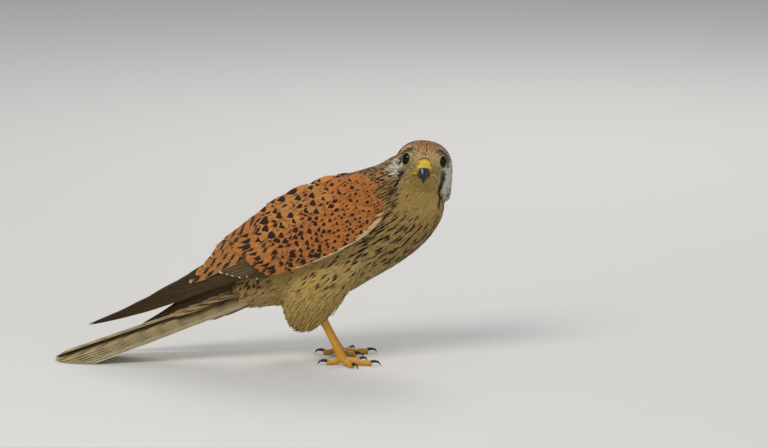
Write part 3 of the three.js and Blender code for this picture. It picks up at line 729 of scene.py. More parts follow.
BODY_TRACTS = (
    ("throat", (74, -16, 134), (-0.25, -0.1, -0.95), 1.9, 9.0, 0.95, 0.7),
    ("throat", (80, 0, 131), (-0.2, 0, -0.97), 1.9, 9.0, 0.95, 0.7),
    ("neck", (84, 8, 120), (-0.35, 0, -0.94), 2.4, 12.0, 1.2, 0.9),
    ("neck", (72, -18, 122), (-0.55, -0.1, -0.83), 2.4, 12.0, 1.25, 0.9),
    ("neck", (56, -22, 126), (-0.85, -0.1, -0.5), 2.5, 12.0, 1.3, 1.0),
    ("neck", (62, 20, 130), (-0.7, 0.1, -0.7), 2.6, 12.0, 1.4, 0.8),
    ("nape", (47, 10, 152), (-0.85, 0, -0.5), 2.6, 9.5, 1.5, 0.8),
    ("breast", (82, 6, 106), (-0.5, 0, -0.87), 3.3, 16.0, 1.8, 1.0),
    ("breast", (66, 22, 108), (-0.78, 0, -0.62), 3.4, 16.0, 1.9, 1.0),
    ("breast", (50, 28, 112), (-0.92, 0, -0.4), 3.4, 16.0, 1.9, 1.0),
    ("breast", (66, 8, 90), (-0.68, 0, -0.73), 3.5, 17.0, 2.0, 1.0),
    ("breast", (44, 26, 94), (-0.86, 0, -0.5), 3.6, 17.0, 2.1, 1.0),
    ("flank", (28, 28, 84), (-0.85, 0, -0.53), 3.9, 18.0, 2.3, 1.0),
    ("flank", (34, 20, 72), (-0.72, 0, -0.69), 3.9, 18.0, 2.2, 1.0),
    ("flank", (10, 28, 76), (-0.82, 0, -0.57), 4.0, 18.0, 2.4, 1.0),
    ("belly", (46, 6, 74), (-0.75, 0, -0.66), 3.2, 16.0, 1.8, 0.9),
    ("belly", (22, 6, 60), (-0.85, 0, -0.5), 3.0, 15.0, 1.7, 0.9),
    ("belly", (-4, 8, 50), (-0.98, 0, -0.15), 3.0, 15.0, 1.7, 0.9),
    ("vent", (-30, 8, 45), (-1, 0, -0.05), 3.2, 17.0, 1.9, 0.9),
    ("vent", (-30, 18, 60), (-1, 0, -0.15), 3.4, 17.0, 2.0, 0.9),
    ("vent", (-66, 8, 43), (-0.94, 0, -0.3), 4.0, 20.0, 2.6, 1.1),
    ("trousers", (-16, 27, 70), (-0.75, 0, -0.66), 3.2, 16.0, 1.8, 0.9),
    ("trousers", (10, 32, 60), (-0.62, 0, -0.78), 2.5, 14.0, 1.1, 1.3),
    ("trousers", (-10, 36, 56), (-0.5, 0, -0.86), 2.4, 14.0, 1.0, 1.4),
    ("trousers", (-36, 30, 54), (-0.45, 0, -0.9), 2.4, 14.0, 1.0, 1.4),
    ("trousers", (0, 27, 44), (-0.4, 0, -0.9), 1.9, 11.0, 0.65, 2.2),
    ("trousers", (-20, 24, 34), (-0.25, 0, -0.96), 1.7, 9.5, 0.55, 3.0),
    ("trousers", (-38, 23, 40), (-0.25, 0, -0.96), 1.9, 11.0, 0.65, 2.6),
    ("mantle", (30, 8, 156), (-0.97, 0, -0.2), 4.4, 14.0, 3.0, 1.1),
    ("mantle", (8, 10, 150), (-0.95, 0, -0.3), 5.0, 17.0, 3.6, 1.3),
    ("mantle", (-20, 10, 136), (-0.85, 0, -0.5), 5.4, 19.0, 4.0, 1.3),
    ("rump", (-45, 8, 116), (-0.7, 0, -0.7), 5.2, 18.0, 3.8, 1.3),
    ("rump", (-78, 6, 72), (-0.6, 0, -0.8), 5.2, 18.0, 3.8, 1.3),
    ("nape", (42, 20, 140), (-0.85, 0, -0.5), 3.2, 11.0, 1.9, 0.9),
)
FACE_GRAIN = (0.85, 0.95, 0.86, 1.0)  # shares of the space, length, half width and rise that the tracts give
BODY_GRAIN = (0.66, 0.9, 0.76, 1.0)
FACE_REACH, BODY_REACH = 5.0, 11.0  # how far a tract reaches


class Tracts:
    """Blends the tracts over the skin: how feathers lie, how large they are and what they look like."""

    def __init__(self):
        rows = []
        for in_head, table, grain, reach in (
            (True, FACE_TRACTS, FACE_GRAIN, FACE_REACH),
            (False, BODY_TRACTS, BODY_GRAIN, BODY_REACH),
        ):
            for kind, place, lie, *size in table:
                for side in (1, -1) if place[1] else (1,):
                    spot, way = np.array(place, float), np.array(lie, float)
                    spot[1] *= side
                    way[1] *= side
                    if in_head:
                        spot, way = from_head(spot[None])[0], HEAD_ARRAY[:3, :3] @ way
                    rows.append((kind, spot, way, np.array(size) * grain, reach))
        self.kinds, places, lies, sizes, reach = zip(*rows)
        self.places, self.sizes, self.reach = np.array(places), np.array(sizes), np.array(reach)
        self.lies = unit(np.array(lies))
        self.colours = np.array([LOOKS[kind]["base"] for kind in self.kinds])

    def weights(self, points):
        """Each tract's share at points, falling off with distance and adding up to 1."""
        apart = ((points[:, None] - self.places) ** 2).sum(-1) / (2 * self.reach**2)
        near = apart.min(axis=1, keepdims=True)
        weights = np.exp(-(apart - near))
        return weights / weights.sum(axis=1, keepdims=True)

    def lie(self, normals, weights):
        """The way that feathers lie along the skin, with its normals."""
        way = weights @ self.lies
        way -= (way * normals).sum(-1, keepdims=True) * normals
        return unit(way)


def eye_rim(side):
    """The middle of the ring round an eye, and the way the eye looks, in the head's coordinates."""
    axis = unit(np.array(EYE_AXIS) * (1, side, 1))
    return np.array(EYE_MIDDLE) * (1, side, 1) + axis * math.sqrt(EYE_RADIUS**2 - LID_RADIUS**2), axis


def face_marks(points):
    """How much there is of each mark of the face at points on the bird: the dark stripe under the eye, the
    painted shade under the brow over and behind it, with the cheek's dark edge, the pale cheek and the pale
    line over the brow."""
    head = into_head(points)
    x, y, z = head.T
    left = smooth(-1, 1, y)  # the cheek on the left is pressed flatter by the turn of the head
    y = np.abs(y)
    near = smooth(38, 33, np.linalg.norm(head, axis=1))
    lower = smooth(-5, -24, z)

    # The stripe runs down from the eye, ragged and narrowing, and broken low down
    wave = 0.5 * np.sin(1.3 * z) + 0.3 * np.sin(2.9 * z + 1)
    line = mix(15.4, 19.2, lower) - left * mix(0.6, 4.6, lower)
    right_half = mix(2.3, 1.0, smooth(-7, -12, z))
    left_half = mix(1.6, 1.1, smooth(-7, -20, z))
    half = mix(right_half, left_half, left) + 0.4 * wave
    breaks = smooth(-0.9, -0.3, np.sin(0.9 * z + 0.4))
    gaps = mix(1, breaks, smooth(-8, -11, z) * (1 - 0.7 * left))
    stripe = smooth(half + 0.6, half - 0.6, np.abs(y - line)) * smooth(-2.2, -4.2, z) * smooth(-31, -26, z)
    stripe = stripe * smooth(-3, 1, x) * gaps

    # The painted shade under the brow, over and behind the eye, and the pale line over it follow the ring
    # round the eye
    away = np.stack([x, y, z], -1) - eye_rim(1)[0]
    far = np.maximum(0.1, np.linalg.norm(away, axis=1))
    over = (0.75 * away[:, 2] + 0.3 * away[:, 1] - 0.5 * away[:, 0]) / far
    brow = smooth(10.4, 9.2, far) * smooth(0.12, 0.4, over)
    pale_line = smooth(13.2, 12.2, far) * smooth(9.8, 10.6, far) * smooth(0.55, 0.8, over)
    pale_line = pale_line * smooth(19.5, 17, y)

    # Behind, the cheek ends in a streaked dark edge, and on the left it darkens low down
    streaks = smooth(-0.5, 0.4, np.sin(2.1 * z + 0.9 * x) + 0.4 * np.sin(5 * z))
    left_rim = smooth(3.5, 1.0, np.abs(x + mix(5, 2.5, left))) * left
    rim = np.maximum(left_rim, smooth(20.6, 22.0, y) * (1 - left))
    edge = rim * smooth(26, 24, y) * smooth(17, 19, y) * smooth(8, 4, z) * streaks
    edge = edge * mix(smooth(-17, -12, z), 1, left)
    low = smooth(-17, -24, z) * smooth(15.5, 17.5, y) * streaks * left
    reach = smooth(22.0, 20.6, y - 3 * left) * smooth(-9, -6, x + 4 * (left - 1))
    reach = reach * mix(smooth(-11.5, -8, z), 1, left)
    cheek = smooth(line + 1.0, line + 2.2, y) * smooth(6.5, 3.5, z) * smooth(-31, -25, z) * reach
    cheek = cheek * (1 - 0.8 * low)
    # dark is the painted shade under the brow, joined with the cheek's own dark edge
    dark = np.maximum(brow, 0.75 * np.maximum(edge, 0.8 * low * reach))
    return stripe * near, dark * near, cheek * near, 0.8 * pale_line * near


def paint(points, colours):
    """Colours with the face's own markings laid over them, and the painted shade under the brow."""
    stripe, brow, cheek, pale_line = face_marks(points)
    # brow carries the painted shade under the brow together with the cheek's dark edge
    for mark, share in ((PALE_CHEEK, cheek), (PALE_BROW, pale_line), (BROW_SHADE_AND_CHEEK_EDGE, brow), (DARK_MALAR, stripe)):
        colours = mix(colours, np.array(mark), share[:, None])
    return colours


# Materials


BARB_STEP = 0.45  # millimetres


def feather_material():
    """Contour and flight feathers: matt keratin barbs, whose fine slanting lines give a soft, silky grain."""
    material, tree = new_material("feather barbs")
    place = node(tree, "ShaderNodeTexCoord").outputs["Object"]
    made = {
        "ragged": node(tree, "ShaderNodeTexNoise", {"Vector": place, "Scale": 900.0, "Detail": 2.0}),
        "patchy": node(tree, "ShaderNodeTexNoise", {"Vector": place, "Scale": 120.0, "Detail": 2.0}),
    }
    for name, parts in (
        ("vane", ("u", "v", "body")),
        ("size", ("half", "length", "none")),
        ("streak", ("streak half", "streak start", "streak end")),
        ("spot", ("spot half", "spot at", "spot reach")),
        ("bars", ("bar count", "bar strength", "bar dark")),
        ("trim", ("trim breadth", "trim strength", "shaft dark")),
        ("tip", ("tip start", "tip strength", "none")),
    ):
        kept = node(tree, "ShaderNodeAttribute", attribute_name=name).outputs["Vector"]
        made.update(zip(parts, node(tree, "ShaderNodeSeparateXYZ", (kept,)).outputs))

    # The drawing on a vane, step by step: what it makes, how, and from what. BAND is a soft step from one
    # value to another, and each other word is a sum.
    for name, how, *given in (
        ("side", "ABSOLUTE", "u"),
        ("off", "MULTIPLY_ADD", "ragged", 0.3, -0.15),
        ("out", "ADD", "side", "off"),
        ("along", "MULTIPLY_ADD", "off", 0.35, "v"),
        # The streak swells along the feather and narrows at both ends
        ("share", "BAND", "along", "streak start", "streak end"),
        ("turn", "MULTIPLY", "share", math.pi),
        ("arch", "SINE", "turn"),
        ("swell", "POWER", "arch", 0.55),
        ("reach", "MULTIPLY", "streak half", "swell"),
        ("inside", "SUBTRACT", "reach", 0.08),
        ("outside", "ADD", "reach", 0.08),
        ("line", "BAND", "out", "inside", "outside", 1.0, 0.0),
        ("any", "BAND", "streak half", 0.01, 0.05),
        ("streak", "MULTIPLY", "line", "any"),
        # The spot points towards the root, and its flanks lag behind its middle
        ("lag", "MULTIPLY_ADD", "out", 0.13, "along"),
        ("ahead", "SUBTRACT", "lag", "spot at"),
        ("blunt", "MULTIPLY", "ahead", 1.5),
        ("apart", "MULTIPLY", "ahead", -0.75),
        ("away", "MAXIMUM", "blunt", "apart"),
        ("deep", "DIVIDE", "away", "spot reach"),
        ("wide", "DIVIDE", "out", "spot half"),
        ("round", "MULTIPLY", "wide", "wide"),
        ("total", "ADD", "deep", "round"),
        ("spot", "BAND", "total", 0.85, 1.15, 1.0, 0.0),
        ("slope", "MULTIPLY_ADD", "out", -0.1, "along"),
        ("count", "MULTIPLY", "slope", "bar count"),
        ("wave", "PINGPONG", "count", 0.5),
        ("level", "MULTIPLY", "wave", 2.0),
        ("low", "SUBTRACT", "bar dark", 0.08),
        ("high", "ADD", "bar dark", 0.08),
        ("bar", "BAND", "level", "low", "high", 1.0, 0.0),
        ("bars", "MULTIPLY", "bar", "bar strength"),
        ("most", "MAXIMUM", "streak", "spot"),
        ("dark", "MAXIMUM", "most", "bars"),
        # Barbs run outwards and forwards from the shaft, further apart than real ones, so that they show
        ("from shaft", "MULTIPLY", "side", "half"),
        ("slant", "MULTIPLY", "from shaft", -0.8),
        ("run", "MULTIPLY_ADD", "v", "length", "slant"),
        ("rows", "MULTIPLY", "run", 2 * math.pi / BARB_STEP),
        ("ripple", "SINE", "rows"),
        ("lifted", "MULTIPLY_ADD", "ripple", 0.5, 0.5),
        ("broken", "MULTIPLY_ADD", "ragged", 1.2, 0.1),
        ("barbs", "MULTIPLY", "lifted", "broken"),
        ("inner rim", "SUBTRACT", 1.0, "trim breadth"),
        ("rim", "BAND", "out", "inner rim", 1.0),
        ("fringe", "MULTIPLY", "rim", "trim strength"),
        ("tip end", "ADD", "tip start", 0.04),
        ("pale end", "BAND", "along", "tip start", "tip end"),
        ("pale tip", "MULTIPLY", "pale end", "tip strength"),
        ("pale", "MAXIMUM", "fringe", "pale tip"),
        ("shaft", "BAND", "from shaft", 0.12, 0.32, 1.0, 0.0),
        ("quill", "MULTIPLY", "shaft", "shaft dark"),
        ("mottle", "MULTIPLY_ADD", "patchy", 0.3, 0.76),
        ("shade", "MULTIPLY_ADD", "barbs", 0.16, "mottle"),
    ):
        kind, settings = "ShaderNodeMath", {"operation": how}
        if how == "BAND":
            kind, settings = "ShaderNodeMapRange", {"interpolation_type": "SMOOTHSTEP"}
        made[name] = node(tree, kind, [made[g] if isinstance(g, str) else g for g in given], **settings)

    base, mark, edge = (node(tree, "ShaderNodeAttribute", attribute_name=name) for name in LOOK_FIELDS[:3])
    whole = base
    for share, over in (("dark", mark), ("pale", edge), ("quill", mark)):
        whole = node(tree, "ShaderNodeMix", {0: made[share], 6: whole, 7: over}, data_type="RGBA").outputs[2]
    tone = node(tree, "ShaderNodeHueSaturation", {"Value": made["shade"], "Color": whole})
    bump = node(tree, "ShaderNodeBump", {"Strength": 0.35, "Distance": 0.00012, "Height": made["barbs"]})
    shader = node(
        tree,
        "ShaderNodeBsdfPrincipled",
        {"Base Color": tone, "Roughness": 0.75, "IOR": 1.5, "Normal": bump, "Specular IOR Level": 0.2,
         "Sheen Weight": 0.05, "Sheen Roughness": 0.5},
    )
    node(tree, "ShaderNodeOutputMaterial", (shader,))
    return material


def skin_material():
    """Down-covered skin under the feathers: dull and slightly mottled, in the plumage's own colours."""
    material, tree = new_material("downy skin")
    colour = node(tree, "ShaderNodeAttribute", attribute_name="plumage")
    place = node(tree, "ShaderNodeTexCoord").outputs["Object"]
    down = node(tree, "ShaderNodeTexNoise", {"Vector": place, "Scale": 1400.0, "Detail": 3.0})
    shade = node(tree, "ShaderNodeMath", (down, 0.5, 0.6), operation="MULTIPLY_ADD")
    tone = node(tree, "ShaderNodeHueSaturation", {"Value": shade, "Color": colour})
    bump = node(tree, "ShaderNodeBump", {"Strength": 0.4, "Distance": 0.0003, "Height": down})
    shader = node(tree, "ShaderNodeBsdfPrincipled", {"Base Color": tone, "Roughness": 0.85, "Normal": bump})
    node(tree, "ShaderNodeOutputMaterial", (shader,))
    return material


def bare_skin_material(name, colour, dark, scale_mm, depth, roughness=0.42):
    """Bare yellow skin of a raptor: small rounded scales with darker seams, and a slight waxy gloss."""
    material, tree = new_material(name)
    place = node(tree, "ShaderNodeTexCoord").outputs["Object"]
    cells = {"Vector": place, "Scale": 1000 / scale_mm}
    scales = node(tree, "ShaderNodeTexVoronoi", cells, feature="DISTANCE_TO_EDGE")
    seam = node(tree, "ShaderNodeMapRange", (scales, 0.0, 0.16), interpolation_type="SMOOTHSTEP")
    blotch = node(tree, "ShaderNodeTexNoise", {"Vector": place, "Scale": 260.0, "Detail": 3.0})
    ramp = node(tree, "ShaderNodeMapRange", (blotch, 0.3, 0.75))
    wear = node(tree, "ShaderNodeMath", (ramp, 0.22), operation="MULTIPLY")
    soil = node(tree, "ShaderNodeMath", (seam, -0.45, 0.45), operation="MULTIPLY_ADD")
    amount = node(tree, "ShaderNodeMath", (soil, wear), operation="MAXIMUM")
    # Painted shade: where a piece gives its shade, as in the nostril pits, the skin darkens towards dark
    # brown
    shade = node(tree, "ShaderNodeAttribute", attribute_name="shade").outputs["Fac"]
    worn = node(tree, "ShaderNodeMix", {0: amount, 6: opaque(colour), 7: opaque(dark)}, data_type="RGBA")
    tint = node(tree, "ShaderNodeMix", {0: shade, 6: worn.outputs[2], 7: opaque("#2A1D10")}, data_type="RGBA")
    bump = node(tree, "ShaderNodeBump", {"Strength": 0.6, "Distance": depth * MM, "Height": seam})
    shader = node(
        tree,
        "ShaderNodeBsdfPrincipled",
        {"Base Color": tint.outputs[2], "Roughness": roughness, "IOR": 1.45, "Normal": bump,
         "Subsurface Weight": 0.08, "Subsurface Radius": (0.002, 0.0012, 0.0005), "Subsurface Scale": 0.5},
    )
    node(tree, "ShaderNodeOutputMaterial", (shader,))
    return material


def horn_material(name, tip, root, span):
    """Bill and claw horn: layered keratin, smooth and glossy, paler where it grows and black at the point."""
    material, tree = new_material(name)
    shade = node(tree, "ShaderNodeAttribute", attribute_name="growth").outputs["Fac"]
    place = node(tree, "ShaderNodeTexCoord").outputs["Object"]
    grain = node(tree, "ShaderNodeTexNoise", {"Vector": place, "Scale": 500.0, "Detail": 3.0})
    run = node(tree, "ShaderNodeMath", (grain, 0.18, shade), operation="MULTIPLY_ADD")
    share = node(tree, "ShaderNodeMapRange", (run, *span), interpolation_type="SMOOTHSTEP")
    tint = node(tree, "ShaderNodeMix", {0: share, 6: opaque(root), 7: opaque(tip)}, data_type="RGBA")
    bump = node(tree, "ShaderNodeBump", {"Strength": 0.15, "Distance": 0.0002, "Height": grain})
    shader = node(
        tree,
        "ShaderNodeBsdfPrincipled",
        {"Base Color": tint.outputs[2], "Roughness": 0.3, "IOR": 1.54, "Normal": bump},
    )
    node(tree, "ShaderNodeOutputMaterial", (shader,))
    return material


def eye_material():
    """A wet eye: a very dark brown iris round a black pupil, under a clear and glossy cornea."""
    material, tree = new_material("wet eye")
    ring = node(tree, "ShaderNodeAttribute", attribute_name="growth").outputs["Fac"]
    inner = node(tree, "ShaderNodeMapRange", (ring, 0.44, 0.5), interpolation_type="SMOOTHSTEP")
    pupil, iris = opaque("#050404"), opaque("#170A04")
    tint = node(tree, "ShaderNodeMix", {0: inner, 6: pupil, 7: iris}, data_type="RGBA")
    shader = node(
        tree,
        "ShaderNodeBsdfPrincipled",
        {"Base Color": tint.outputs[2], "Roughness": 0.1, "IOR": 1.34, "Specular IOR Level": 0.35},
    )
    node(tree, "ShaderNodeOutputMaterial", (shader,))
    return material


def floor_material():
    """Matt painted studio floor: pale, even and without gloss."""
    material, tree = new_material("studio floor")
    shader = node(tree, "ShaderNodeBsdfPrincipled", {"Base Color": opaque("#D9D8D4"), "Roughness": 0.9})
    node(tree, "ShaderNodeOutputMaterial", (shader,))
    return material


# Skin


def wing_flesh(name):
    """The wing's own flesh under its feathers, as a closed shell on the wing's surface."""
    place = wing_surface(name)
    rows, points = 30, 18
    along = np.linspace(-6, CORE_END - 8, rows + 1)
    share = np.linspace(0, 1, points)
    rings = []
    for a in along:
        at = np.full(points, a)
        across = mix(through_places(CORE_LOW, at) + 1.5, through_places(CORE_HIGH, at) - 1.5, share)
        edge = np.sin(np.pi * mix(0.06, 0.94, share)) ** 0.5
        outer = through_places(CORE_OUTER, at) + 1.6 + 1.4 * (1 - edge)
        inner = through_places(CORE_OUTER, at) + 2.4 + through_places(CORE_THICK, at) * edge
        rings.append(np.concatenate([place(at, across, outer), place(at, across, inner)[::-1]]))
    return ring_object(f"wing_flesh_{name}", np.array(rings))


def copy_of_solid(name, swell):
    """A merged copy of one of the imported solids, swollen a little so that neighbours join."""
    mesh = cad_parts[name].data.copy()
    shape = bmesh.new()
    shape.from_mesh(mesh)
    bmesh.ops.remove_doubles(shape, verts=shape.verts, dist=0.01 * MM)
    shape.normal_update()
    for vert in shape.verts:
        vert.co += vert.normal * swell * MM
    shape.to_mesh(mesh)
    shape.free()
    mesh.materials.clear()
    return linked("copy", mesh)


def eye_socket(side):
    """The rise of the face round an eye, up to the rim that holds the bare ring."""
    rim, axis = eye_rim(side)
    up = unit(np.array((0, 0, 1)) - axis * axis[2])
    across = np.cross(up, axis)
    turn = circle(40)[:, None]
    rings = [
        rim + axis * height + radius * (np.cos(turn) * across + 0.86 * np.sin(turn) * up)
        for radius, height in SOCKET_RINGS
    ]
    return ring_object("eye_socket", from_head(np.array(rings)))


def bare_face(points):
    """1 on the bare parts of the face, where skin and lids show, and 0 among the feathers."""
    head = into_head(points)
    x, y, z = head.T
    bare = np.zeros(len(head))
    for side in (-1, 1):
        bare = np.maximum(bare, smooth(6.7, 5.6, np.linalg.norm(head - eye_rim(side)[0], axis=1)))
    cere = smooth(1.15, 0.95, np.hypot(y / 6.1, (z - 0.6) / 6.0)) * smooth(12, 13.5, x)
    chin = smooth(1.15, 0.95, np.hypot(y / 5.4, (z + 8) / 2.6)) * smooth(11, 12.5, x)
    return np.maximum(bare, np.maximum(cere, chin))


def unwrap(obj):
    """Lays out the bake map from obj's own shape."""
    select_only(obj)
    bpy.ops.object.mode_set(mode="EDIT")
    bpy.ops.mesh.select_all(action="SELECT")
    bpy.ops.uv.smart_project(angle_limit=math.radians(72), island_margin=0.004)
    bpy.ops.object.mode_set(mode="OBJECT")
    obj.data.uv_layers[0].name = "OFBake"


WING_COAT_DEPTH, BARE_DEPTH = 0.4, 0.2


def build_skin(sizes):
    """One skin for head, neck, body, thighs and wings, and how it lies: normals, tracts and unwrap."""
    copies = [copy_of_solid(n, 0.25) for n in ("torso", "neck", "head", "thigh_left", "thigh_right")]
    flesh = [wing_flesh(n) for n in SIDES] + [eye_socket(side) for side in (-1, 1)]
    skin = remeshed("skin", join_objects("flesh", copies + flesh), sizes.skin_grain)
    mesh = skin.data
    points = from_frame(mesh_points(mesh))
    bare = bare_face(points)
    near_face = smooth(27, 20, np.linalg.norm(into_head(points) - (4, 0, 0), axis=1))
    points = relax(mesh, points, 4, hold=bare * 0.8)
    points = relax(mesh, points, 14, hold=np.maximum(bare, near_face * 0.85))
    move_points(mesh, to_frame(points))

    # The skin lies inside the solids by the depth of its coat
    tracts = Tracts()
    weights = tracts.weights(points)
    depth = 0.25 + (weights @ tracts.sizes)[:, 3] * 0.8
    on_wing = wing_share(points)
    depth = mix(mix(depth, WING_COAT_DEPTH, on_wing), BARE_DEPTH, bare)
    points = points - mesh_normals(mesh) * relax(mesh, depth[:, None], 6)
    move_points(mesh, to_frame(points))
    even = unit(relax(mesh, mesh_normals(mesh), 10, hold=near_face * 0.6))
    # The skin takes the face's markings and the painted shade under the brow as well
    colours = paint(points, weights @ tracts.colours)
    colours = mix(colours, np.array(LOOKS["lesser"]["base"]), on_wing[:, None])
    add_attribute(mesh, "plumage", colours)
    add_attribute(mesh, "even", even)
    unwrap(skin)
    set_material(mesh, skin_material())
    return skin


def wing_share(points):
    """1 where the skin is the wing's, and 0 on the body."""
    share = np.zeros(len(points))
    for name, side in SIDES.items():
        along, across = ((points - np.array(WRIST)) @ axis for axis in sloping_axes(WING_DROP[name]))
        low, high = through_places(CORE_LOW, along), through_places(CORE_HIGH, along)
        inside = smooth(-5, -2, along) * smooth(CORE_END + 4, CORE_END, along)
        inside *= smooth(low - 1.5, low + 1.5, across) * smooth(high + 1, high - 2, across)
        surface = wing_surface(name)(along, across, 0.0)
        deep = (surface[:, 1] - points[:, 1]) * side
        share = np.maximum(share, inside * smooth(9, 6, deep) * (points[:, 1] * side > 2))
    return share


# Small feathers


def vane_helper():
    """One small feather, 1 long and 1 in half width, for the coat to repeat: closed, thin and lens-shaped."""
    rows, across = 6, (-1, -0.5, 0, 0.5, 1)
    s = np.linspace(0, 1, rows + 1)
    outline = np.array([0.35, 0.72, 0.94, 1.0, 0.94, 0.72, 0.3])
    ring_u = np.array((*across, 0.0))
    grid_s = np.repeat(s[:, None], len(ring_u), axis=1)
    grid_u = np.tile(ring_u, (rows + 1, 1))
    top = np.array((0, 0.8, 1.0, 0.8, 0, -0.2))
    height = np.tile(top, (rows + 1, 1)) * mix(1.0, 0.5, grid_s)
    tip_round = 1 - 0.1 * grid_u**2 * (grid_s > 0.9)
    points = np.stack([grid_u * outline[:, None], grid_s * tip_round, 0 * grid_s], -1)
    mesh = bpy.data.meshes.new("vane helper")
    mesh.from_pydata(points.reshape(-1, 3).tolist(), [], ring_faces(rows, len(ring_u)))
    add_attribute(mesh, "vane", np.stack([grid_u, grid_s, height], -1).reshape(-1, 3))
    turn_outwards_like(mesh, height.ravel())
    mesh.shade_smooth()
    sharpen_vane_edges(mesh)
    return linked("vane helper", mesh)


def turn_outwards_like(mesh, height):
    """Turns a flat vane's faces outwards as they will be once each point has its height."""
    flat = mesh_points(mesh)
    lifted = flat.copy()
    lifted[:, 2] = height * 0.2
    move_points(mesh, lifted)
    turn_outwards(mesh)
    move_points(mesh, flat)


def coat_tree(material):
    """Geometry nodes that set a feather on every root, bend it to the skin and lift it towards its tip."""
    tree = bpy.data.node_groups.new("feather coat", "GeometryNodeTree")
    tree.is_modifier = True
    face = tree.interface
    for name, kind in (
        ("Roots", "NodeSocketGeometry"),
        ("Vane", "NodeSocketObject"),
        ("Skin", "NodeSocketObject"),
        ("Vane thickness", "NodeSocketFloat"),
        ("Root depth", "NodeSocketFloat"),
        ("Patch breadth", "NodeSocketFloat"),
        ("Seed", "NodeSocketInt"),
    ):
        face.new_socket(name, in_out="INPUT", socket_type=kind)
    face.new_socket("Coat", in_out="OUTPUT", socket_type="NodeSocketGeometry")
    given = node(tree, "NodeGroupInput").outputs

    kept = {
        name: node(tree, "GeometryNodeInputNamedAttribute", {"Name": name}, data_type="FLOAT_VECTOR")
        for name in ("out", "lie", "size", "vane", "rise", "even", "root_uv")
    }
    vane = node(tree, "GeometryNodeObjectInfo", {"Object": given["Vane"]}, transform_space="ORIGINAL")
    skin = node(tree, "GeometryNodeObjectInfo", {"Object": given["Skin"]}, transform_space="ORIGINAL")
    turn = node(
        tree,
        "FunctionNodeAxesToRotation",
        {"Primary Axis": kept["out"], "Secondary Axis": kept["lie"]},
        primary_axis="Z",
        secondary_axis="Y",
    )
    half, length, _ = node(tree, "ShaderNodeSeparateXYZ", (kept["size"],)).outputs
    # Each feather a little longer or shorter than its neighbours
    chance = node(tree, "FunctionNodeRandomValue", {2: 0.92, 3: 1.08, "Seed": given["Seed"]})
    chance = node(tree, "ShaderNodeMath", (chance.outputs[1], MM), operation="MULTIPLY")
    wide = node(tree, "ShaderNodeMath", (half, MM), operation="MULTIPLY")
    tall = node(tree, "ShaderNodeMath", (length, chance), operation="MULTIPLY")
    scale = node(tree, "ShaderNodeCombineXYZ", (wide, tall, 1.0))
    copies = node(
        tree,
        "GeometryNodeInstanceOnPoints",
        {"Points": given["Roots"], "Instance": vane.outputs["Geometry"], "Rotation": turn, "Scale": scale},
    )
    real = node(tree, "GeometryNodeRealizeInstances", (copies,))

    # Each point goes to the nearest place on the skin, then out from it by its own height
    here = node(tree, "GeometryNodeInputPosition")
    near = node(tree, "GeometryNodeProximity", {0: skin.outputs["Geometry"], "Sample Position": here})
    sampled = node(
        tree,
        "GeometryNodeSampleNearestSurface",
        {"Mesh": skin.outputs["Geometry"], "Value": kept["even"], "Sample Position": here},
        data_type="FLOAT_VECTOR",
    )
    u, v, body = node(tree, "ShaderNodeSeparateXYZ", (kept["vane"],)).outputs
    rise, droop, jitter = node(tree, "ShaderNodeSeparateXYZ", (kept["rise"],)).outputs
    run = node(tree, "ShaderNodeMath", (v, 0.8), operation="POWER")
    lift = node(tree, "ShaderNodeMath", (rise, run, jitter), operation="MULTIPLY_ADD")
    square = node(tree, "ShaderNodeMath", (u, u), operation="MULTIPLY")
    bend = node(tree, "ShaderNodeMath", (v, square), operation="MULTIPLY")
    sunk = node(tree, "ShaderNodeMath", (droop, bend, given["Root depth"]), operation="MULTIPLY_ADD")
    full = node(tree, "ShaderNodeMath", (body, given["Vane thickness"], lift), operation="MULTIPLY_ADD")
    height = node(tree, "ShaderNodeMath", (full, sunk), operation="SUBTRACT")
    metres = node(tree, "ShaderNodeMath", (height, MM), operation="MULTIPLY")
    normal = node(tree, "ShaderNodeVectorMath", (sampled,), operation="NORMALIZE")
    lifted = node(tree, "ShaderNodeVectorMath", {0: normal, "Scale": metres}, operation="SCALE")
    target = node(tree, "ShaderNodeVectorMath", (near.outputs["Position"], lifted), operation="ADD")
    bent = node(tree, "GeometryNodeSetPosition", {"Geometry": real, "Position": target})

    # A small patch of the bake map for each feather, at its root's place
    middle = node(tree, "ShaderNodeMath", (u, 0.5, 0.5), operation="MULTIPLY_ADD")
    centred = node(tree, "ShaderNodeCombineXYZ", (middle, v))
    spread = {0: centred, "Scale": given["Patch breadth"]}
    patch = node(tree, "ShaderNodeVectorMath", spread, operation="SCALE")
    bake = node(tree, "ShaderNodeVectorMath", (kept["root_uv"], patch), operation="ADD")
    mapped = node(
        tree,
        "GeometryNodeStoreNamedAttribute",
        {"Geometry": bent, "Name": "OFBake", "Value": bake},
        data_type="FLOAT2",
        domain="CORNER",
    )
    dressed = node(tree, "GeometryNodeSetMaterial", {"Geometry": mapped, "Material": material})
    node(tree, "NodeGroupOutput", {"Coat": dressed})
    return tree


def coat_piece(name, roots, skin, sizes, depth, thickness):
    """Grows the small feathers of one part of the bird from its roots, as one plain mesh."""
    mesh = bpy.data.meshes.new(name + " roots")
    mesh.from_pydata(to_frame(roots["place"]).tolist(), [], [])
    for key, values in roots.items():
        if key != "place":
            add_attribute(mesh, key, values)
    obj = linked(name + " roots", mesh)
    grow = obj.modifiers.new("coat", "NODES")
    grow.node_group = MADE["tree"]
    values = {
        "Vane": MADE["vane"],
        "Skin": skin,
        "Vane thickness": thickness,
        "Root depth": depth,
        "Patch breadth": sizes.patch,
        "Seed": 7,
    }
    for item in MADE["tree"].interface.items_tree:
        if item.in_out == "INPUT" and item.name in values:
            grow[item.identifier] = values[item.name]
    made = evaluated_mesh(obj)
    made.name = name
    for key in ("out", "lie", "rise", "root_uv"):
        if key in made.attributes:
            made.attributes.remove(made.attributes[key])
    return linked(name, made)


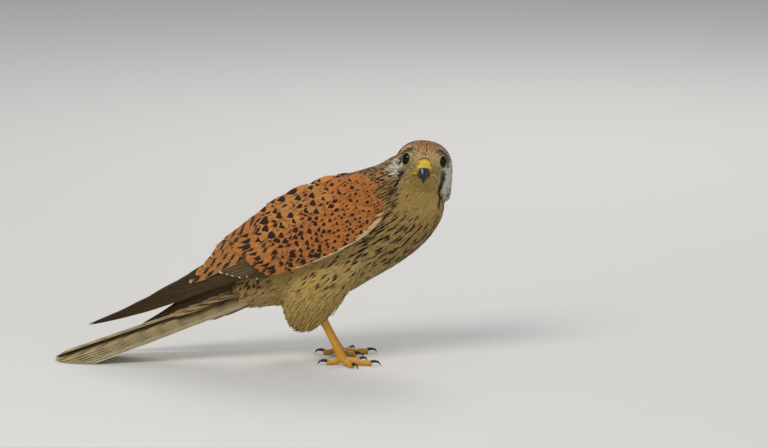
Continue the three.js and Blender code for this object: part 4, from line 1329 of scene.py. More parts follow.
def standing_apart(places, lies, apart):
    """Which places, taken in order, find the oval round them free. It is longer along the lie than across."""
    tree = KDTree(len(places))
    for i, place in enumerate(places):
        tree.insert(place, i)
    tree.balance()
    free = np.ones(len(places), bool)
    chosen = []
    for i in range(len(places)):
        if not free[i]:
            continue
        chosen.append(i)
        for place, j, _ in tree.find_range(places[i], apart[i] * 1.3):
            offset = place - Vector(places[i])
            run = offset.dot(Vector(lies[i]))
            if offset.length_squared - 0.66 * run * run < (0.8 * apart[i]) ** 2:
                free[j] = False
    return chosen


MOST_DARTS, DARTS_A_ROOT = 240000, 14


def scatter(skin, tracts, rng):
    """Roots all over the skin, closer together where the feathers are smaller: of many darts thrown at it,
    those that find the oval round them free."""
    mesh = skin.data
    mesh.calc_loop_triangles()
    points = from_frame(mesh_points(mesh))
    corners = read(mesh.loop_triangles, "vertices", 3, np.int32)
    loops = read(mesh.loop_triangles, "loops", 3, np.int32)
    bake = read(mesh.uv_layers["OFBake"].uv, "vector", 2)
    even = read(mesh.attributes["even"].data, "vector", 3)
    a, b, c = (points[corners[:, k]] for k in range(3))
    area = np.linalg.norm(np.cross(b - a, c - a), axis=1) / 2
    middle = (a + b + c) / 3
    spacing = (tracts.weights(middle) @ tracts.sizes)[:, 0]
    keep = (wing_share(middle) < 0.5) & (bare_face(middle) < 0.45)
    chance = area / spacing**2 * keep
    total = int(min(MOST_DARTS, chance.sum() * DARTS_A_ROOT))
    picked = rng.choice(len(area), total, p=chance / chance.sum())
    share = rng.random((total, 2))
    flip = share.sum(1) > 1
    share[flip] = 1 - share[flip]
    parts = np.stack([1 - share.sum(1), share[:, 0], share[:, 1]], axis=1)[..., None]
    places = (points[corners[picked]] * parts).sum(1)
    normals = unit((even[corners[picked]] * parts).sum(1))
    root_uv = (bake[loops[picked]] * parts).sum(1)
    lies = tracts.lie(normals, tracts.weights(places))
    chosen = standing_apart(places, lies, spacing[picked])
    return places[chosen], normals[chosen], root_uv[chosen]


def dress_roots(kinds, places, normals, lies, sizes_mm, root_uv, rng, colours=None, wild=0.07):
    """The attributes that the coat reads, with each feather a little different from the next."""
    count = len(places)
    sway = rng.normal(0, wild, count)[:, None]
    lies = unit(lies + np.cross(normals, lies) * sway)
    grow = 1 + rng.normal(0, 0.06, (count, 1))
    length, half, rise = sizes_mm.T
    roots = {
        "place": places,
        "out": normals,
        "lie": lies,
        "size": np.stack([half * grow[:, 0], length * grow[:, 0], 0 * half], 1),
        "rise": np.stack([rise, 0.25 * rise, rng.normal(0, 0.05, count) * rise], 1),
        "root_uv": root_uv,
    }
    for key in LOOK_FIELDS:
        values = np.array([LOOKS[kind][key] for kind in kinds])
        if key == "base" and colours is not None:
            values = colours
        if key in ("base", "edge"):
            values = values * (1 + rng.normal(0, 0.05, (count, 1)))
        if key == "streak":
            values = values * (1 + rng.normal(0, 0.12, (count, 1)) * (1, 0.3, 0))
        if key == "spot":
            values = values * (1 + rng.normal(0, 1, (count, 3)) * (0.2, 0.05, 0.25))
        roots[key] = np.clip(values, -2, 10)
    return roots


FAN_RADIUS, FAN_STEP = 27, 2.5  # of the lines of streaks on the head
LINE_STEP, DASH_LENGTH = 4.8, 12  # of those on the breast


def streak_share(places, kinds):
    """How much of each feather's dark streak shows, so that the streaks of the head run on from feather to
    feather in lines that fan out from the bill, and those of the breast flow in broken lines."""
    x, y, z = into_head(places).T
    fan = np.arctan2(y, z + 6) * FAN_RADIUS / FAN_STEP + 0.5 * np.sin(0.4 * x) + 0.35 * np.sin(1.1 * x + y)
    head = smooth(-0.3, 0.3, np.sin(2 * np.pi * fan))
    sway = 0.25 * np.sin(places @ np.array((0.11, 0.2, 0.13)))
    across = places @ np.array((0.62, 0.5, -0.6)) / LINE_STEP + sway
    along = places @ np.array((-0.7, 0, -0.72)) / DASH_LENGTH + 0.37 * np.floor(across + 0.25)
    lines = smooth(-0.6, 0.0, np.sin(2 * np.pi * across)) * smooth(-0.8, -0.3, np.sin(2 * np.pi * along))
    sparse = smooth(-0.4, 0.1, np.sin(1.6 * np.pi * across)) * smooth(-0.4, 0.2, np.sin(2.4 * np.pi * along))
    upper = sparse * smooth(60, 70, places[:, 2])
    plain = smooth(-38, -31, z) * smooth(16, 12, np.abs(y)) * smooth(6, -2, z)
    share = np.where(np.isin(kinds, ("crown", "forehead", "brow", "ear", "face")), head, 1.0)
    share = np.where(np.isin(kinds, ("breast", "neck")), mix(0.1, 1.1, lines), share)
    share = np.where(np.isin(kinds, "flank"), sparse, share)
    share = np.where(np.isin(kinds, "trousers"), upper, share)
    return share * (1 - plain * np.isin(kinds, ("throat", "neck", "breast", "nape", "ear")))


def body_roots(skin):
    """The roots of all the small feathers of the head and body, dressed by the tracts that they lie in."""
    rng = np.random.default_rng(11)
    tracts = Tracts()
    places, normals, root_uv = scatter(skin, tracts, rng)
    weights = tracts.weights(places)
    sizes = weights @ tracts.sizes
    draw = rng.random(len(places))[:, None]
    index = np.minimum((np.cumsum(weights, axis=1) < draw).sum(1), len(tracts.kinds) - 1)
    kinds = np.array(tracts.kinds)[index]
    own = np.where(kinds == "face", 0.05, 0.4)[:, None]  # a stray pale feather would stand out at the throat
    # paint also lays the painted shade under the brow over these feathers
    colours = paint(places, mix(weights @ tracts.colours, tracts.colours[index], own))
    lies = tracts.lie(normals, weights)
    roots = dress_roots(kinds, places, normals, lies, sizes[:, 1:], root_uv, rng, colours)
    roots["streak"] = roots["streak"] * streak_share(places, kinds)[:, None] ** (1, 0, 0)
    fluff = np.where(kinds == "trousers", rng.uniform(0.5, 1.9, len(places)), 1.0)
    roots["rise"] = roots["rise"] * fluff[:, None]
    # brow is the painted shade under the brow with the cheek's dark edge; streaks and pale edges give way
    # there
    stripe, brow, cheek, pale_line = face_marks(places)
    height = into_head(places)[:, 2]
    plain = np.max([stripe, brow, cheek * smooth(-14, -5, height), pale_line], axis=0)[:, None]
    roots["streak"] = roots["streak"] * (1 - plain * (1, 0, 0))
    roots["edge"] = mix(roots["edge"], roots["base"], np.maximum(plain, 0.2))
    return roots


# Wings


def wing_sheet(name):
    """The wing's outer surface as a sheet, for the small coverts to lie on."""
    place = wing_surface(name)
    rows, columns = 70, 34
    along = np.linspace(-12, 110, rows + 1)
    grid = []
    for a in along:
        at = np.full(columns + 1, a)
        low, high = through_places(CORE_LOW, at) - 2, through_places(CORE_HIGH, at) + 1
        across = np.linspace(low[0], high[0], columns + 1)
        rise = smooth(4, 0, across - low[0]) * 1.2
        grid.append(place(at, across, through_places(CORE_OUTER, at) * 0.6 + 1.5 + rise))
    firsts = [r * (columns + 1) + i for r in range(rows) for i in range(columns)]
    faces = [(first, first + 1, first + columns + 2, first + columns + 1) for first in firsts]
    sheet = new_object(f"wing sheet {name}", grid, faces)
    normals = mesh_normals(sheet.data)
    if (normals[:, 1] * SIDES[name]).mean() < 0:
        sheet.data.flip_normals()
        normals = -normals
    add_attribute(sheet.data, "even", normals)
    return sheet


COVERT_ROWS, COVERT_STEP = 20, 4.65
MARGINALS, MARGINAL_STEP = 30, 2.6
SCAPULAR_ROWS, SCAPULAR_STEP = {"right": 9, "left": 7}, 10.0


def covert_roots(name, rng):
    """Rows of lesser coverts and scapulars over the wing's surface. A spot is a place along and across it,
    the feather's turn, its length, its half width and its rise."""
    place = wing_surface(name)
    kinds, spots = [], []
    for row in range(COVERT_ROWS):  # lesser and median coverts, row by row up to the bend of the wing
        a = 84 - COVERT_STEP * row
        low, high = (float(through_places(t, np.array(a))) for t in (CORE_LOW, CORE_HIGH))
        share = row / (COVERT_ROWS - 1)
        size = mix(1.0, 0.55, share)
        count = int((high - low - 4) / mix(5.4, 3.6, share))
        for i in range(count):
            b = low + 2.5 + (i + 0.5 * (row % 2)) * (high - low - 5) / count
            grown = size * (1 + rng.normal(0, 0.1))
            kinds.append("lesser" if row > 8 else "median")
            spot = a + rng.normal(0, 1.5), b + rng.normal(0, 0.9)
            spots.append((*spot, -0.07, 15.5 * grown, 3.7 * grown, 1.1))
    for i in range(MARGINALS):  # pale marginal coverts along the leading edge
        a = 72 - MARGINAL_STEP * i
        b = float(through_places(CORE_LOW, np.array(a))) + 0.4
        kinds.append("marginal")
        spots.append((a, b, -0.02, 11.0, 0.75, 1.2))
    for row in range(SCAPULAR_ROWS[name]):  # scapulars, over the top of the wing
        a = 86 - SCAPULAR_STEP * row
        high = float(through_places(CORE_HIGH, np.array(a)))
        for i in range(4):
            b = high - 2.6 - 5.6 * i - 2.4 * (row % 2) + rng.normal(0, 0.6)
            size = mix(1.0, 0.6, row / 8) * (1 - 0.07 * i)
            kinds.append("scapular" if row < 7 else "lesser")
            spots.append((a + rng.normal(0, 1.6), b, -0.03 - 0.05 * i, 27 * size, 5.2 * size, 1.9))
    spots = np.array(spots)
    along, across, turn = spots[:, 0], spots[:, 1], spots[:, 2]
    depth = 1.2
    places = place(along, across, depth)
    ahead = unit(place(along + 1, across + turn, depth) - places)
    upward = unit(place(along, across + 0.5, depth) - place(along, across - 0.5, depth))
    normals = unit(np.cross(ahead, upward))
    normals = np.where(normals[:, 1:2] * SIDES[name] < 0, -normals, normals)
    root_uv = np.stack([(along + 20) / 150, (across + 20) / 90], axis=1)
    return dress_roots(kinds, places, normals, ahead, spots[:, 3:], root_uv, rng, wild=0.05)


def wing_tiers():
    """Larger coverts and flight feathers of a folded wing, each tier as its kind, how many there are and how
    one at a share of the way up the tier is set: root and tip as (along, across, depth), and its shape."""

    def greater(share):
        tip = mix(104, 122, math.sin(math.pi * 0.5 * share)), mix(-7, 30, share), 2.2
        root = mix(70, 82, share), mix(-5, 37, share), 5
        return root, tip, {"half": 5.0, "tilt": 0.15, "rows": 10, "columns": 6}

    def primary_covert(share):
        tip = mix(120, 108, share), mix(-8, -2, share), 3.3
        root = 74, mix(-9, -3, share), 6.4
        return root, tip, {"half": 3.4, "tilt": 0.24, "outline": pointed_tip, "rows": 10}

    def tertial(share):
        tip = mix(162, 126, share), mix(5.5, 28.5, share), mix(3.4, 2.0, share)
        root = mix(100, 82, share), mix(15, 41, share), 5
        return root, tip, {"half": 5.2, "tilt": 0.12, "bow": 1.6}

    def secondary(share):
        tip = mix(112, 141, math.sin(math.pi * 0.5 * share)), mix(-9.5, 12, share), 3.9
        root = 88, mix(-7, 13, share), 7
        return root, tip, {"half": 5.0, "tilt": 0.2, "rows": 14}

    return (
        ("secondary", 8, secondary),
        ("tertial", 6, tertial),
        ("primary covert", 6, primary_covert),
        ("greater", 11, greater),
    )


def primaries():
    """Ten primaries, the inner ones on top, so that their tips step along the wing's lower edge."""
    for i in range(PRIMARIES):
        share = i / (PRIMARIES - 1)
        depth = LAYER * 0.667 * i
        root = (CORE_END - 14, mix(7, -5, share), 6.5 + 0.7 * depth)
        tip = (*through(PRIMARY_TIPS, share), 3.4 + depth)
        half, bow = mix(8.4, 6.0, share), mix(1.4, -3.2, share)
        yield root, tip, {"half": half, "outline": pointed_tip, "bow": bow, "rows": 26}


def quill_patch(number, columns, step, breadth):
    """A large feather's own patch of the bake map: its corner and its breadth."""
    row, column = divmod(number, columns)
    return (0.01 + column * step[0], 0.01 + row * step[1]), breadth


def build_quills(name, material):
    """The large coverts and flight feathers of one wing, each a little different from the next."""
    place = wing_surface(name)
    rng = np.random.default_rng(31 if name == "left" else 30)
    quills = Quills()
    sets = [("primary", p) for p in primaries()]
    for kind, count, rule in wing_tiers():
        sets += [(kind, rule(i / (count - 1))) for i in range(count)]
    for i, (kind, (root, tip, shape)) in enumerate(sets):
        tip = (tip[0] + rng.normal(0, 0.7), tip[1] + rng.normal(0, 0.25), tip[2])
        own = dict(LOOKS[kind])
        own["base"] = own["base"] * (1 + rng.normal(0, 0.07))
        own["bars"] = own["bars"] * (1 + rng.normal(0, 0.12), 1, 1 + rng.normal(0, 0.15))
        own["spot"] = own["spot"] * (1 + rng.normal(0, 0.15, 3) * (1, 0.3, 1))
        patch = quill_patch(i, 6, (0.165, 0.098), (0.15, 0.085))
        quills.add(place, own, root, tip, patch=patch, **shape)
    return quills.build(f"quills_{name}", material)


# Tail


def build_tail(material):
    """Twelve tail feathers, the middle pair on top, with rows of coverts over and under their roots."""
    quills = Quills()
    rng = np.random.default_rng(5)
    stack = LAYER * len(TAIL_SHORTENING)

    def add(kind, root, tip, half, **shape):
        patch = quill_patch(len(quills.points), 5, (0.198, 0.12), (0.185, 0.105))
        quills.add(tail_surface, kind, root, tip, half, patch, **shape)

    for pair, shorter in enumerate(TAIL_SHORTENING):
        for side in (1, -1):
            depth = LAYER * (2 * pair + (0.5 if side > 0 else 1.5)) - stack
            turn = math.radians(0.5 + 0.45 * pair)
            start = side * (1.2 + 0.7 * pair)
            length = TAIL_LENGTH - shorter
            tip = (length, start + side * (length - 32) * math.tan(turn), depth)
            kind = LOOKS["tail outer" if pair > 3 else "tail"]
            kind = {**kind, "base": kind["base"] * (1 + rng.normal(0, 0.04))}
            roof = 0.22 * side  # the outer webs slope down
            add(kind, (4, start * 0.6, depth * 0.7), tip, TAIL_HALF, outline=square_tip, rows=26, crown=0.3,
                thick=0.8, tilt=roof)
    for face, kind in ((-1, LOOKS["tail covert"]), (1, LOOKS["vent"])):
        for tier, reach in enumerate((78, 64, 50, 38)):
            last = 4 - tier % 2
            for k in range(last + 1):
                across = (k - last / 2) * 3.9
                tip = (reach - 0.25 * abs(across) ** 1.6, across * 1.25, face * (stack + 0.9 + 0.5 * tier))
                root = (reach - 42, across * 0.8, face * (3.6 + 0.3 * tier))
                add(kind, root, tip, 5.2, rows=10, columns=6, tilt=0.03 * (k - 2))
    return quills.build("tail_feathers", material)


# Bare parts of the head


def build_bill(horn, cere_skin):
    """The hooked upper bill with its tooth, the cere with its nostrils, and the lower bill."""
    rows, around = 72, 44
    rings = span_rings(BILL, rows, around, 0.95)
    t = ring_shares(rows, around)
    # The tooth on the cutting edge, a falcon's own, just behind the hook
    tooth = np.exp(-(((t - 0.66) / 0.045) ** 2)) - 0.6 * np.exp(-(((t - 0.76) / 0.04) ** 2))
    edge = smooth(-0.2, -0.9, np.cos(circle(around)))[None]
    rings[..., 2] -= 0.9 * tooth * edge * (np.abs(rings[..., 1]) > 0.5)
    upper = ring_object("bill_upper_horn", from_head(rings), horn, {"growth": t.ravel()})
    finish_piece(upper, "bill_horn", "bill_upper")

    rows, around = 72, 96
    swell = 0.4 * np.sqrt(np.clip((1 - ring_shares(rows, around)) / 0.16, 0, 1))
    rings = span_rings(BILL, rows, around, 0.95, swell, CERE_SLANT, CERE_SHARE)
    painted_nostril_shade = np.zeros(rings.shape[:2])
    for side in (-1, 1):  # round nostrils, each with a raised rim and a sunken pit, its shade painted dark
        apart = np.linalg.norm(rings - np.array(NOSTRIL) * (1, side, 1), axis=-1)
        painted_nostril_shade = np.maximum(painted_nostril_shade, smooth(1.3, 0.8, apart))
        rim = 0.3 * np.exp(-(((apart - 1.15) / 0.4) ** 2)) - 1.5 * np.exp(-((apart / 0.75) ** 4))
        rings = rings + rim[..., None] * np.array((0.15, side, 0.15))
    cere = ring_object("cere_skin", from_head(rings), cere_skin, {"shade": painted_nostril_shade.ravel()})
    finish_piece(cere, "cere_skin", "cere")

    rows, around = 30, 30
    rings = span_rings(MANDIBLE, rows, around, 0.9)
    growth = 0.75 * ring_shares(rows, around)
    lower = ring_object("bill_lower_horn", from_head(rings), horn, {"growth": growth.ravel()})
    finish_piece(lower, "bill_horn", "bill_lower")


def build_gape(skin, cere_skin):
    """The fleshy corners of the mouth, from the bill out over the cheeks, lying on the skin."""
    parts = []
    for side in (-1, 1):
        line = from_head(np.array(GAPE) * (1, side, 1))
        for i, place in enumerate(line[2:], 2):
            _, near, normal, _ = skin.closest_point_on_mesh(Vector(to_frame(place)))
            line[i] = from_frame(np.array(near)) + 0.35 * np.array(normal)
        rings = bar_rings(line, (0.9, 1.0, 0.9, 0.75, 0.45), 40, 16)
        parts.append(ring_object("gape", rings, cere_skin))
    finish_piece(join_objects("gape_skin", parts), "cere_skin")


def turned(axis, points):
    """Points round +Z turned so that +Z lies along axis."""
    return points @ np.array(Vector((0, 0, 1)).rotation_difference(Vector(axis)).to_matrix()).T


def build_eyes(wet, lid_skin):
    """Both eyeballs, with a bulging cornea, and the bare ring round each."""
    for name, side in SIDES.items():
        axis, middle = np.array(EYE_AXIS) * (1, side, 1), np.array(EYE_MIDDLE) * (1, side, 1)
        rows, around = 40, 48
        angle = np.clip(np.pi * ring_shares(rows, around), 0.01, np.pi - 0.01)
        turn = circle(around)[None]
        bulge = EYE_RADIUS * (1 + 0.035 * np.exp(-((angle / 0.55) ** 2)))
        out = bulge * np.sin(angle)
        ball = np.stack([out * np.cos(turn), out * np.sin(turn), bulge * np.cos(angle)], -1)
        growth = np.sin(np.minimum(angle, np.pi / 2))
        placed = from_head(turned(axis, ball) + middle)
        eye = ring_object(f"eyeball_{name}", placed, wet, {"growth": growth.ravel()})
        finish_piece(eye, "eye", f"eye_{name}")

        # The ring is wrinkled a little, and a touch fuller at the back
        rows, around = 96, 14
        turn, across = circle(rows)[:, None], circle(around)[None]
        full = 0.5 + 0.05 * np.cos(13 * turn)
        reach = LID_RADIUS + 0.35 + 0.75 * full * np.cos(across)
        seat = math.sqrt(EYE_RADIUS**2 - LID_RADIUS**2) - 0.05
        height = seat - 0.3 * np.cos(across) + 0.6 * full * np.sin(across)
        ring = np.stack([reach * np.cos(turn), reach * np.sin(turn), height], -1)
        faces = []
        for r in range(rows):
            for i in range(around):
                s, j = (r + 1) % rows, (i + 1) % around
                faces.append((r * around + i, r * around + j, s * around + j, s * around + i))
        lid = new_object(f"eye_ring_{name}", from_head(turned(axis, ring) + middle), faces, lid_skin)
        finish_piece(lid, "cere_skin")


# Legs and feet


def toe_line(name, toe):
    """The way that a toe points, its radius and the line along its middle."""
    length, radius, turn = TOES[toe]
    side = SIDES[name]
    out = np.array((math.cos(math.radians(turn)), side * math.sin(math.radians(turn)), 0))
    start = np.array((1.5 + LEG_SHIFT[name], side * LEG_SPREAD, 0))
    low = radius * (1 - FLOOR_FLAT)
    steps = ((0.06, 4.6), (0.3, radius * 1.25), (0.62, low), (0.86, low), (1, low + 0.2))
    return out, radius, np.array([start + out * share * length + (0, 0, height) for share, height in steps])


def scutes(run, step):
    """The rise of broad scales in a row, with narrow seams between them."""
    return np.abs(np.sin(np.pi * run / step)) ** 0.35 - 0.8


def build_leg(name, scaly, horn):
    """A shank with its toes as one skin, and a claw on each toe."""
    side, shift = SIDES[name], LEG_SHIFT[name]
    heel = np.array((-17 + shift, side * LEG_SPREAD, 43))
    ankle = np.array((1.5 + shift, side * LEG_SPREAD, 5.2))
    shank = np.array((heel + (-4, 0, 6), heel, mix(heel, ankle, 0.5), mix(ankle, heel, 0.12), ankle))
    ball = np.array([ankle + (0, 0, h) for h in (3.3, 1.6, 0, -1.6, -3.3)])
    parts = [
        ring_object("shank", bar_rings(shank, (3.4, 3.5, 2.7, 3.2, 3.8), 110, 40)),
        ring_object("ball", bar_rings(ball, (1.2, 3.4, 3.9, 3.6, 2.0), 20, 30)),
    ]
    for toe in TOES:
        _, radius, line = toe_line(name, toe)
        t = np.linspace(0, 1, 25)
        swell = radius * (1 + 0.11 * np.cos(2 * np.pi * TOE_PADS[toe] * t)) * np.where(t > 0.92, 0.86, 1)
        parts.append(ring_object("toe", bar_rings(line, swell, 70, 28)))
    leg = remeshed(f"leg_skin_{name}", join_objects("leg", parts), LEG_GRAIN)
    mesh = leg.data
    points = relax(mesh, from_frame(mesh_points(mesh)), 3)

    # Broad scutes across the front of the shank and the tops of the toes
    normals = mesh_normals(mesh)
    run = (points - heel) @ unit(ankle - heel)
    front = smooth(0.1, 0.6, normals @ unit(np.array((1, 0, 0.45)))) * smooth(5.5, 8.5, points[:, 2])
    lift = 0.26 * scutes(run, SHANK_SCUTE) * front
    for toe in TOES:
        out, radius, line = toe_line(name, toe)
        offset = points - line[0]
        ahead = offset @ out
        apart = np.abs(offset @ np.cross(out, (0, 0, 1)))
        on_top = smooth(0.2, 0.7, normals[:, 2]) * smooth(radius + 0.4, radius - 0.4, apart)
        on_top = on_top * smooth(2.2, 4, ahead)
        lift += 0.24 * scutes(ahead, TOE_SCUTE) * on_top * (1 - front)
    points = points + normals * lift[:, None]
    points[:, 2] = np.maximum(points[:, 2], 0.0)
    move_points(mesh, to_frame(points))
    set_material(mesh, scaly)
    finish_piece(leg, "leg_skin", f"tarsus_{name}", *(f"toe_{name}_{toe}" for toe in TOES))

    for toe in TOES:
        out, _, line = toe_line(name, toe)
        root = line[-1] + (0, 0, 0.5)
        steps = ((-0.25, -0.1), (0.05, 0.7), (0.35, 1.0), (0.68, 0.15), (0.86, 0.35 - root[2]))
        path = np.array([root + out * share * CLAW_LENGTH + (0, 0, rise) for share, rise in steps])
        rows, around = 30, 20
        rings = bar_rings(path, (CLAW_RADIUS, 1.3, 1.1, 0.7, 0.12), rows, around)
        rings[..., 2] = np.maximum(rings[..., 2], 0.1)
        growth = ring_shares(rows, around).ravel()
        claw = ring_object(f"claw_horn_{name}_{toe}", rings, horn, {"growth": growth})
        finish_piece(claw, "claw_horn", f"claw_{name}_{toe}")


# Settings and operators


def size_of(name, description, usual, low, high):
    """A number in the panel, between low and high."""
    return FloatProperty(name=name, description=description, default=usual, min=low, max=high)


def colour_of(name, description, usual):
    """A colour in the panel."""
    about = {"name": name, "description": description, "default": levels(usual)}
    return FloatVectorProperty(**about, subtype="COLOR_GAMMA", size=3, min=0, max=1)


class KestrelSizes(bpy.types.PropertyGroup):
    """Sizes of the skin and the coat"""

    skin_grain: size_of("Skin grain", "Mesh spacing of the skin, in millimetres", 1.1, 0.5, 3)
    vane_thickness: size_of("Vane thickness", "Thickness of a small feather, in millimetres", 0.16, 0.05, 1)
    root_depth: size_of("Root depth", "How deep a feather's root lies, in millimetres", 0.25, 0, 2)
    patch: size_of("Bake patch", "Breadth of one small feather on its bake map", 0.003, 0.001, 0.01)
    feather_length: size_of("Feather length", "Their length, as a share of the usual", 1, 0.5, 1.5)
    feather_rise: size_of("Feather rise", "How far their tips stand out, as a share of the usual", 1, 0.2, 2)
    camera_distance: FloatProperty(
        name="Camera distance", description="From the camera to the bird", default=3.37, unit="LENGTH"
    )
    camera_lens: FloatProperty(name="Lens", description="Focal length", default=200, unit="CAMERA")


class KestrelColours(bpy.types.PropertyGroup):
    """Colours of the plumage and the bare parts"""

    rufous: colour_of("Rufous", "Ground colour of the crown, back and wing coverts", USUAL["rufous"])
    buff: colour_of("Buff", "Ground colour of the neck, breast, belly and tail", USUAL["buff"])
    brown: colour_of("Flight feathers", "Ground colour of the primaries and secondaries", USUAL["brown"])
    markings: colour_of("Markings", "Colour of the dark streaks, spots and bars", USUAL["markings"])
    cere: colour_of("Cere", "Bare skin over the bill", USUAL["cere"])
    leg: colour_of("Legs", "Scaly skin of the legs and toes", USUAL["leg"])


class KESTREL_OT_skin(bpy.types.Operator):
    """Joins the flesh of the head, body, thighs and wings under one skin"""

    bl_idname = "kestrel.skin"
    bl_label = "Skin"

    def execute(self, context):
        recolour(context.scene.kestrel_colours)
        skin = build_skin(context.scene.kestrel_sizes)
        if len(skin.data.polygons) < 1000:
            raise RuntimeError("the skin came out empty")
        finish_piece(skin, "body_plumage", "head", "neck", "torso", "thigh_left", "thigh_right")
        MADE["skin"] = skin
        return {"FINISHED"}


class KESTREL_OT_coat(bpy.types.Operator):
    """Grows the small feathers of the head, neck, body and thighs over the skin"""

    bl_idname = "kestrel.coat"
    bl_label = "Body plumage"

    def execute(self, context):
        sizes = context.scene.kestrel_sizes
        MADE["feather"] = feather_material()
        MADE["tree"] = coat_tree(MADE["feather"])
        MADE["vane"] = vane_helper()
        roots = body_roots(MADE["skin"])
        roots["size"] = roots["size"] * (1, sizes.feather_length, 1)
        roots["rise"] = roots["rise"] * sizes.feather_rise
        places = roots["place"]
        in_head = into_head(places)
        head, face = np.linalg.norm(in_head, axis=1) < 31, in_head[:, 0] > 0
        front = (places @ np.array((0.8, 0, -0.6))) > -18
        right, above = places[:, 1] < 0, places[:, 2] > 88
        parts = {
            "face_feathers": head & face,
            "crown_feathers": head & ~face,
            "breast_feathers": ~head & front & right,
            "breast_feathers_left": ~head & front & ~right,
            "back_feathers": ~head & ~front & above,
            "flank_feathers": ~head & ~front & ~above & right,
            "flank_feathers_left": ~head & ~front & ~above & ~right,
        }
        for name, mask in parts.items():
            if not mask.any():
                raise RuntimeError(f"no feathers for {name}")
            here = {key: values[mask] for key, values in roots.items()}
            piece = coat_piece(name, here, MADE["skin"], sizes, sizes.root_depth, sizes.vane_thickness)
            finish_piece(piece, "body_plumage")
        return {"FINISHED"}


class KESTREL_OT_wings(bpy.types.Operator):
    """Lays the flight feathers and coverts of both wings"""

    bl_idname = "kestrel.wings"
    bl_label = "Wings"

    def execute(self, context):
        sizes = context.scene.kestrel_sizes
        for name in SIDES:
            quills = build_quills(name, MADE["feather"])
            finish_piece(quills, "wing_feathers", f"wing_{name}")
            sheet = wing_sheet(name)
            roots = covert_roots(name, np.random.default_rng(21))
            coverts = coat_piece(f"coverts_{name}", roots, sheet, sizes, 0.3, 0.2)
            finish_piece(coverts, "wing_feathers")
            bpy.data.objects.remove(sheet)
        return {"FINISHED"}


class KESTREL_OT_tail(bpy.types.Operator):
    """Fans the twelve tail feathers and their coverts"""

    bl_idname = "kestrel.tail"
    bl_label = "Tail"

    def execute(self, context):
        finish_piece(build_tail(MADE["feather"]), "tail_feathers", "tail")
        return {"FINISHED"}


class KESTREL_OT_face(bpy.types.Operator):
    """Shapes the bill, the cere, the corners of the mouth, and the eyes with the bare rings round them"""

    bl_idname = "kestrel.face"
    bl_label = "Bill and eyes"

    def execute(self, context):
        cere = hex_of(context.scene.kestrel_colours.cere)
        skin = bare_skin_material("waxy cere", cere, "#9A7A1E", 0.5, 0.05, 0.38)
        horn = horn_material("bill horn", "#0E0D10", "#62526A", (0.42, 0.68))
        build_bill(horn, skin)
        build_gape(MADE["skin"], bare_skin_material("gape skin", "#C9A63A", "#8A5A2A", 0.5, 0.05))
        build_eyes(eye_material(), bare_skin_material("eye ring skin", "#A8983A", "#6E6426", 0.6, 0.06, 0.5))
        return {"FINISHED"}


class KESTREL_OT_legs(bpy.types.Operator):
    """Shapes the scaly shanks and toes, and the claws"""

    bl_idname = "kestrel.legs"
    bl_label = "Legs and feet"

    def execute(self, context):
        leg = hex_of(context.scene.kestrel_colours.leg)
        scaly = bare_skin_material("scaly leg", leg, "#8A5A14", 0.8, 0.12)
        horn = horn_material("claw horn", "#0E0E10", "#3A3A3E", (0.05, 0.4))
        for name in SIDES:
            build_leg(name, scaly, horn)
        return {"FINISHED"}


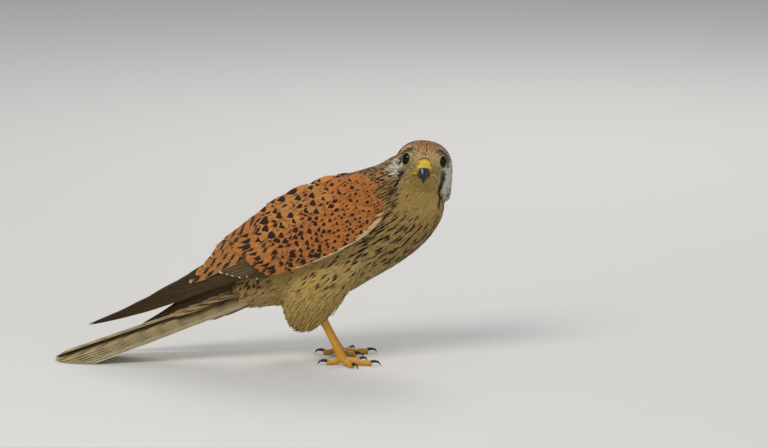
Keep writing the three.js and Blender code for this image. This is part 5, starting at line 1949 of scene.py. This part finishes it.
class KESTREL_OT_stage(bpy.types.Operator):
    """Sets the floor, the soft studio lights and the camera"""

    bl_idname = "kestrel.stage"
    bl_label = "Studio"

    def execute(self, context):
        scene = context.scene
        mesh = bpy.data.meshes.new("floor")
        ways = ((-1, -1), (1, -1), (1, 1), (-1, 1))
        corners = [(x * FLOOR_REACH, y * FLOOR_REACH, FLOOR_HEIGHT) for x, y in ways]
        mesh.from_pydata(corners, [], [(0, 1, 2, 3)])
        mesh.materials.append(floor_material())
        linked("floor", mesh)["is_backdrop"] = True

        scene.world = bpy.data.worlds.new("studio")
        scene.world.use_nodes = True
        sky = scene.world.node_tree.nodes["Background"].inputs
        sky["Color"].default_value = SKY
        sky["Strength"].default_value = SKY_STRENGTH
        scene.view_settings.view_transform = "Standard"
        for name, place, breadth, power, colour in LIGHTS:
            light = bpy.data.lights.new(name, "AREA")
            light.shape, light.size, light.energy, light.color = "DISK", breadth, power, colour
            lamp = linked(name, light)
            lamp.location = place
            lamp.rotation_euler = (Vector(LIGHTS_AIM) - Vector(place)).to_track_quat("-Z", "Y").to_euler()

        camera = bpy.data.cameras.new("camera")
        camera.lens, camera.sensor_width, camera.clip_end = scene.kestrel_sizes.camera_lens, CAMERA_SENSOR, 20
        eye = linked("camera", camera)
        rise = math.radians(CAMERA_RISE)
        back = Vector((0, -math.cos(rise), math.sin(rise))) * scene.kestrel_sizes.camera_distance
        eye.location = Vector(to_frame(CAMERA_AIM)) + back
        eye.rotation_euler = (math.radians(90) - rise, 0, 0)
        scene.camera = eye
        return {"FINISHED"}


OPERATORS = (
    KESTREL_OT_skin,
    KESTREL_OT_coat,
    KESTREL_OT_wings,
    KESTREL_OT_tail,
    KESTREL_OT_face,
    KESTREL_OT_legs,
    KESTREL_OT_stage,
)


class KESTREL_PT_panel(bpy.types.Panel):
    """Lists the bird's settings and the steps that build it"""

    bl_label = "Kestrel"
    bl_idname = "KESTREL_PT_panel"
    bl_space_type = "VIEW_3D"
    bl_region_type = "UI"
    bl_category = "Kestrel"

    def draw(self, context):
        for group in (context.scene.kestrel_sizes, context.scene.kestrel_colours):
            for key in group.__annotations__:
                self.layout.prop(group, key)
        for operator in OPERATORS:
            self.layout.operator(operator.bl_idname)


CLASSES = (KestrelSizes, KestrelColours, *OPERATORS, KESTREL_PT_panel)


def register():
    for made in CLASSES:
        bpy.utils.register_class(made)
    bpy.types.Scene.kestrel_sizes = PointerProperty(type=KestrelSizes)
    bpy.types.Scene.kestrel_colours = PointerProperty(type=KestrelColours)


def unregister():
    del bpy.types.Scene.kestrel_colours
    del bpy.types.Scene.kestrel_sizes
    for made in reversed(CLASSES):
        bpy.utils.unregister_class(made)


def main():
    register()
    bpy.ops.kestrel.stage()
    bpy.ops.kestrel.skin()
    bpy.ops.kestrel.coat()
    bpy.ops.kestrel.wings()
    bpy.ops.kestrel.tail()
    bpy.ops.kestrel.face()
    bpy.ops.kestrel.legs()
    bpy.data.objects.remove(MADE["vane"])
    boxes = {"cad": CAD_BOUNDS, "visual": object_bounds()}
    rounded = {key: [[round(float(c), 5) for c in corner] for corner in box] for key, box in boxes.items()}


if __name__ == "__main__":
    main()
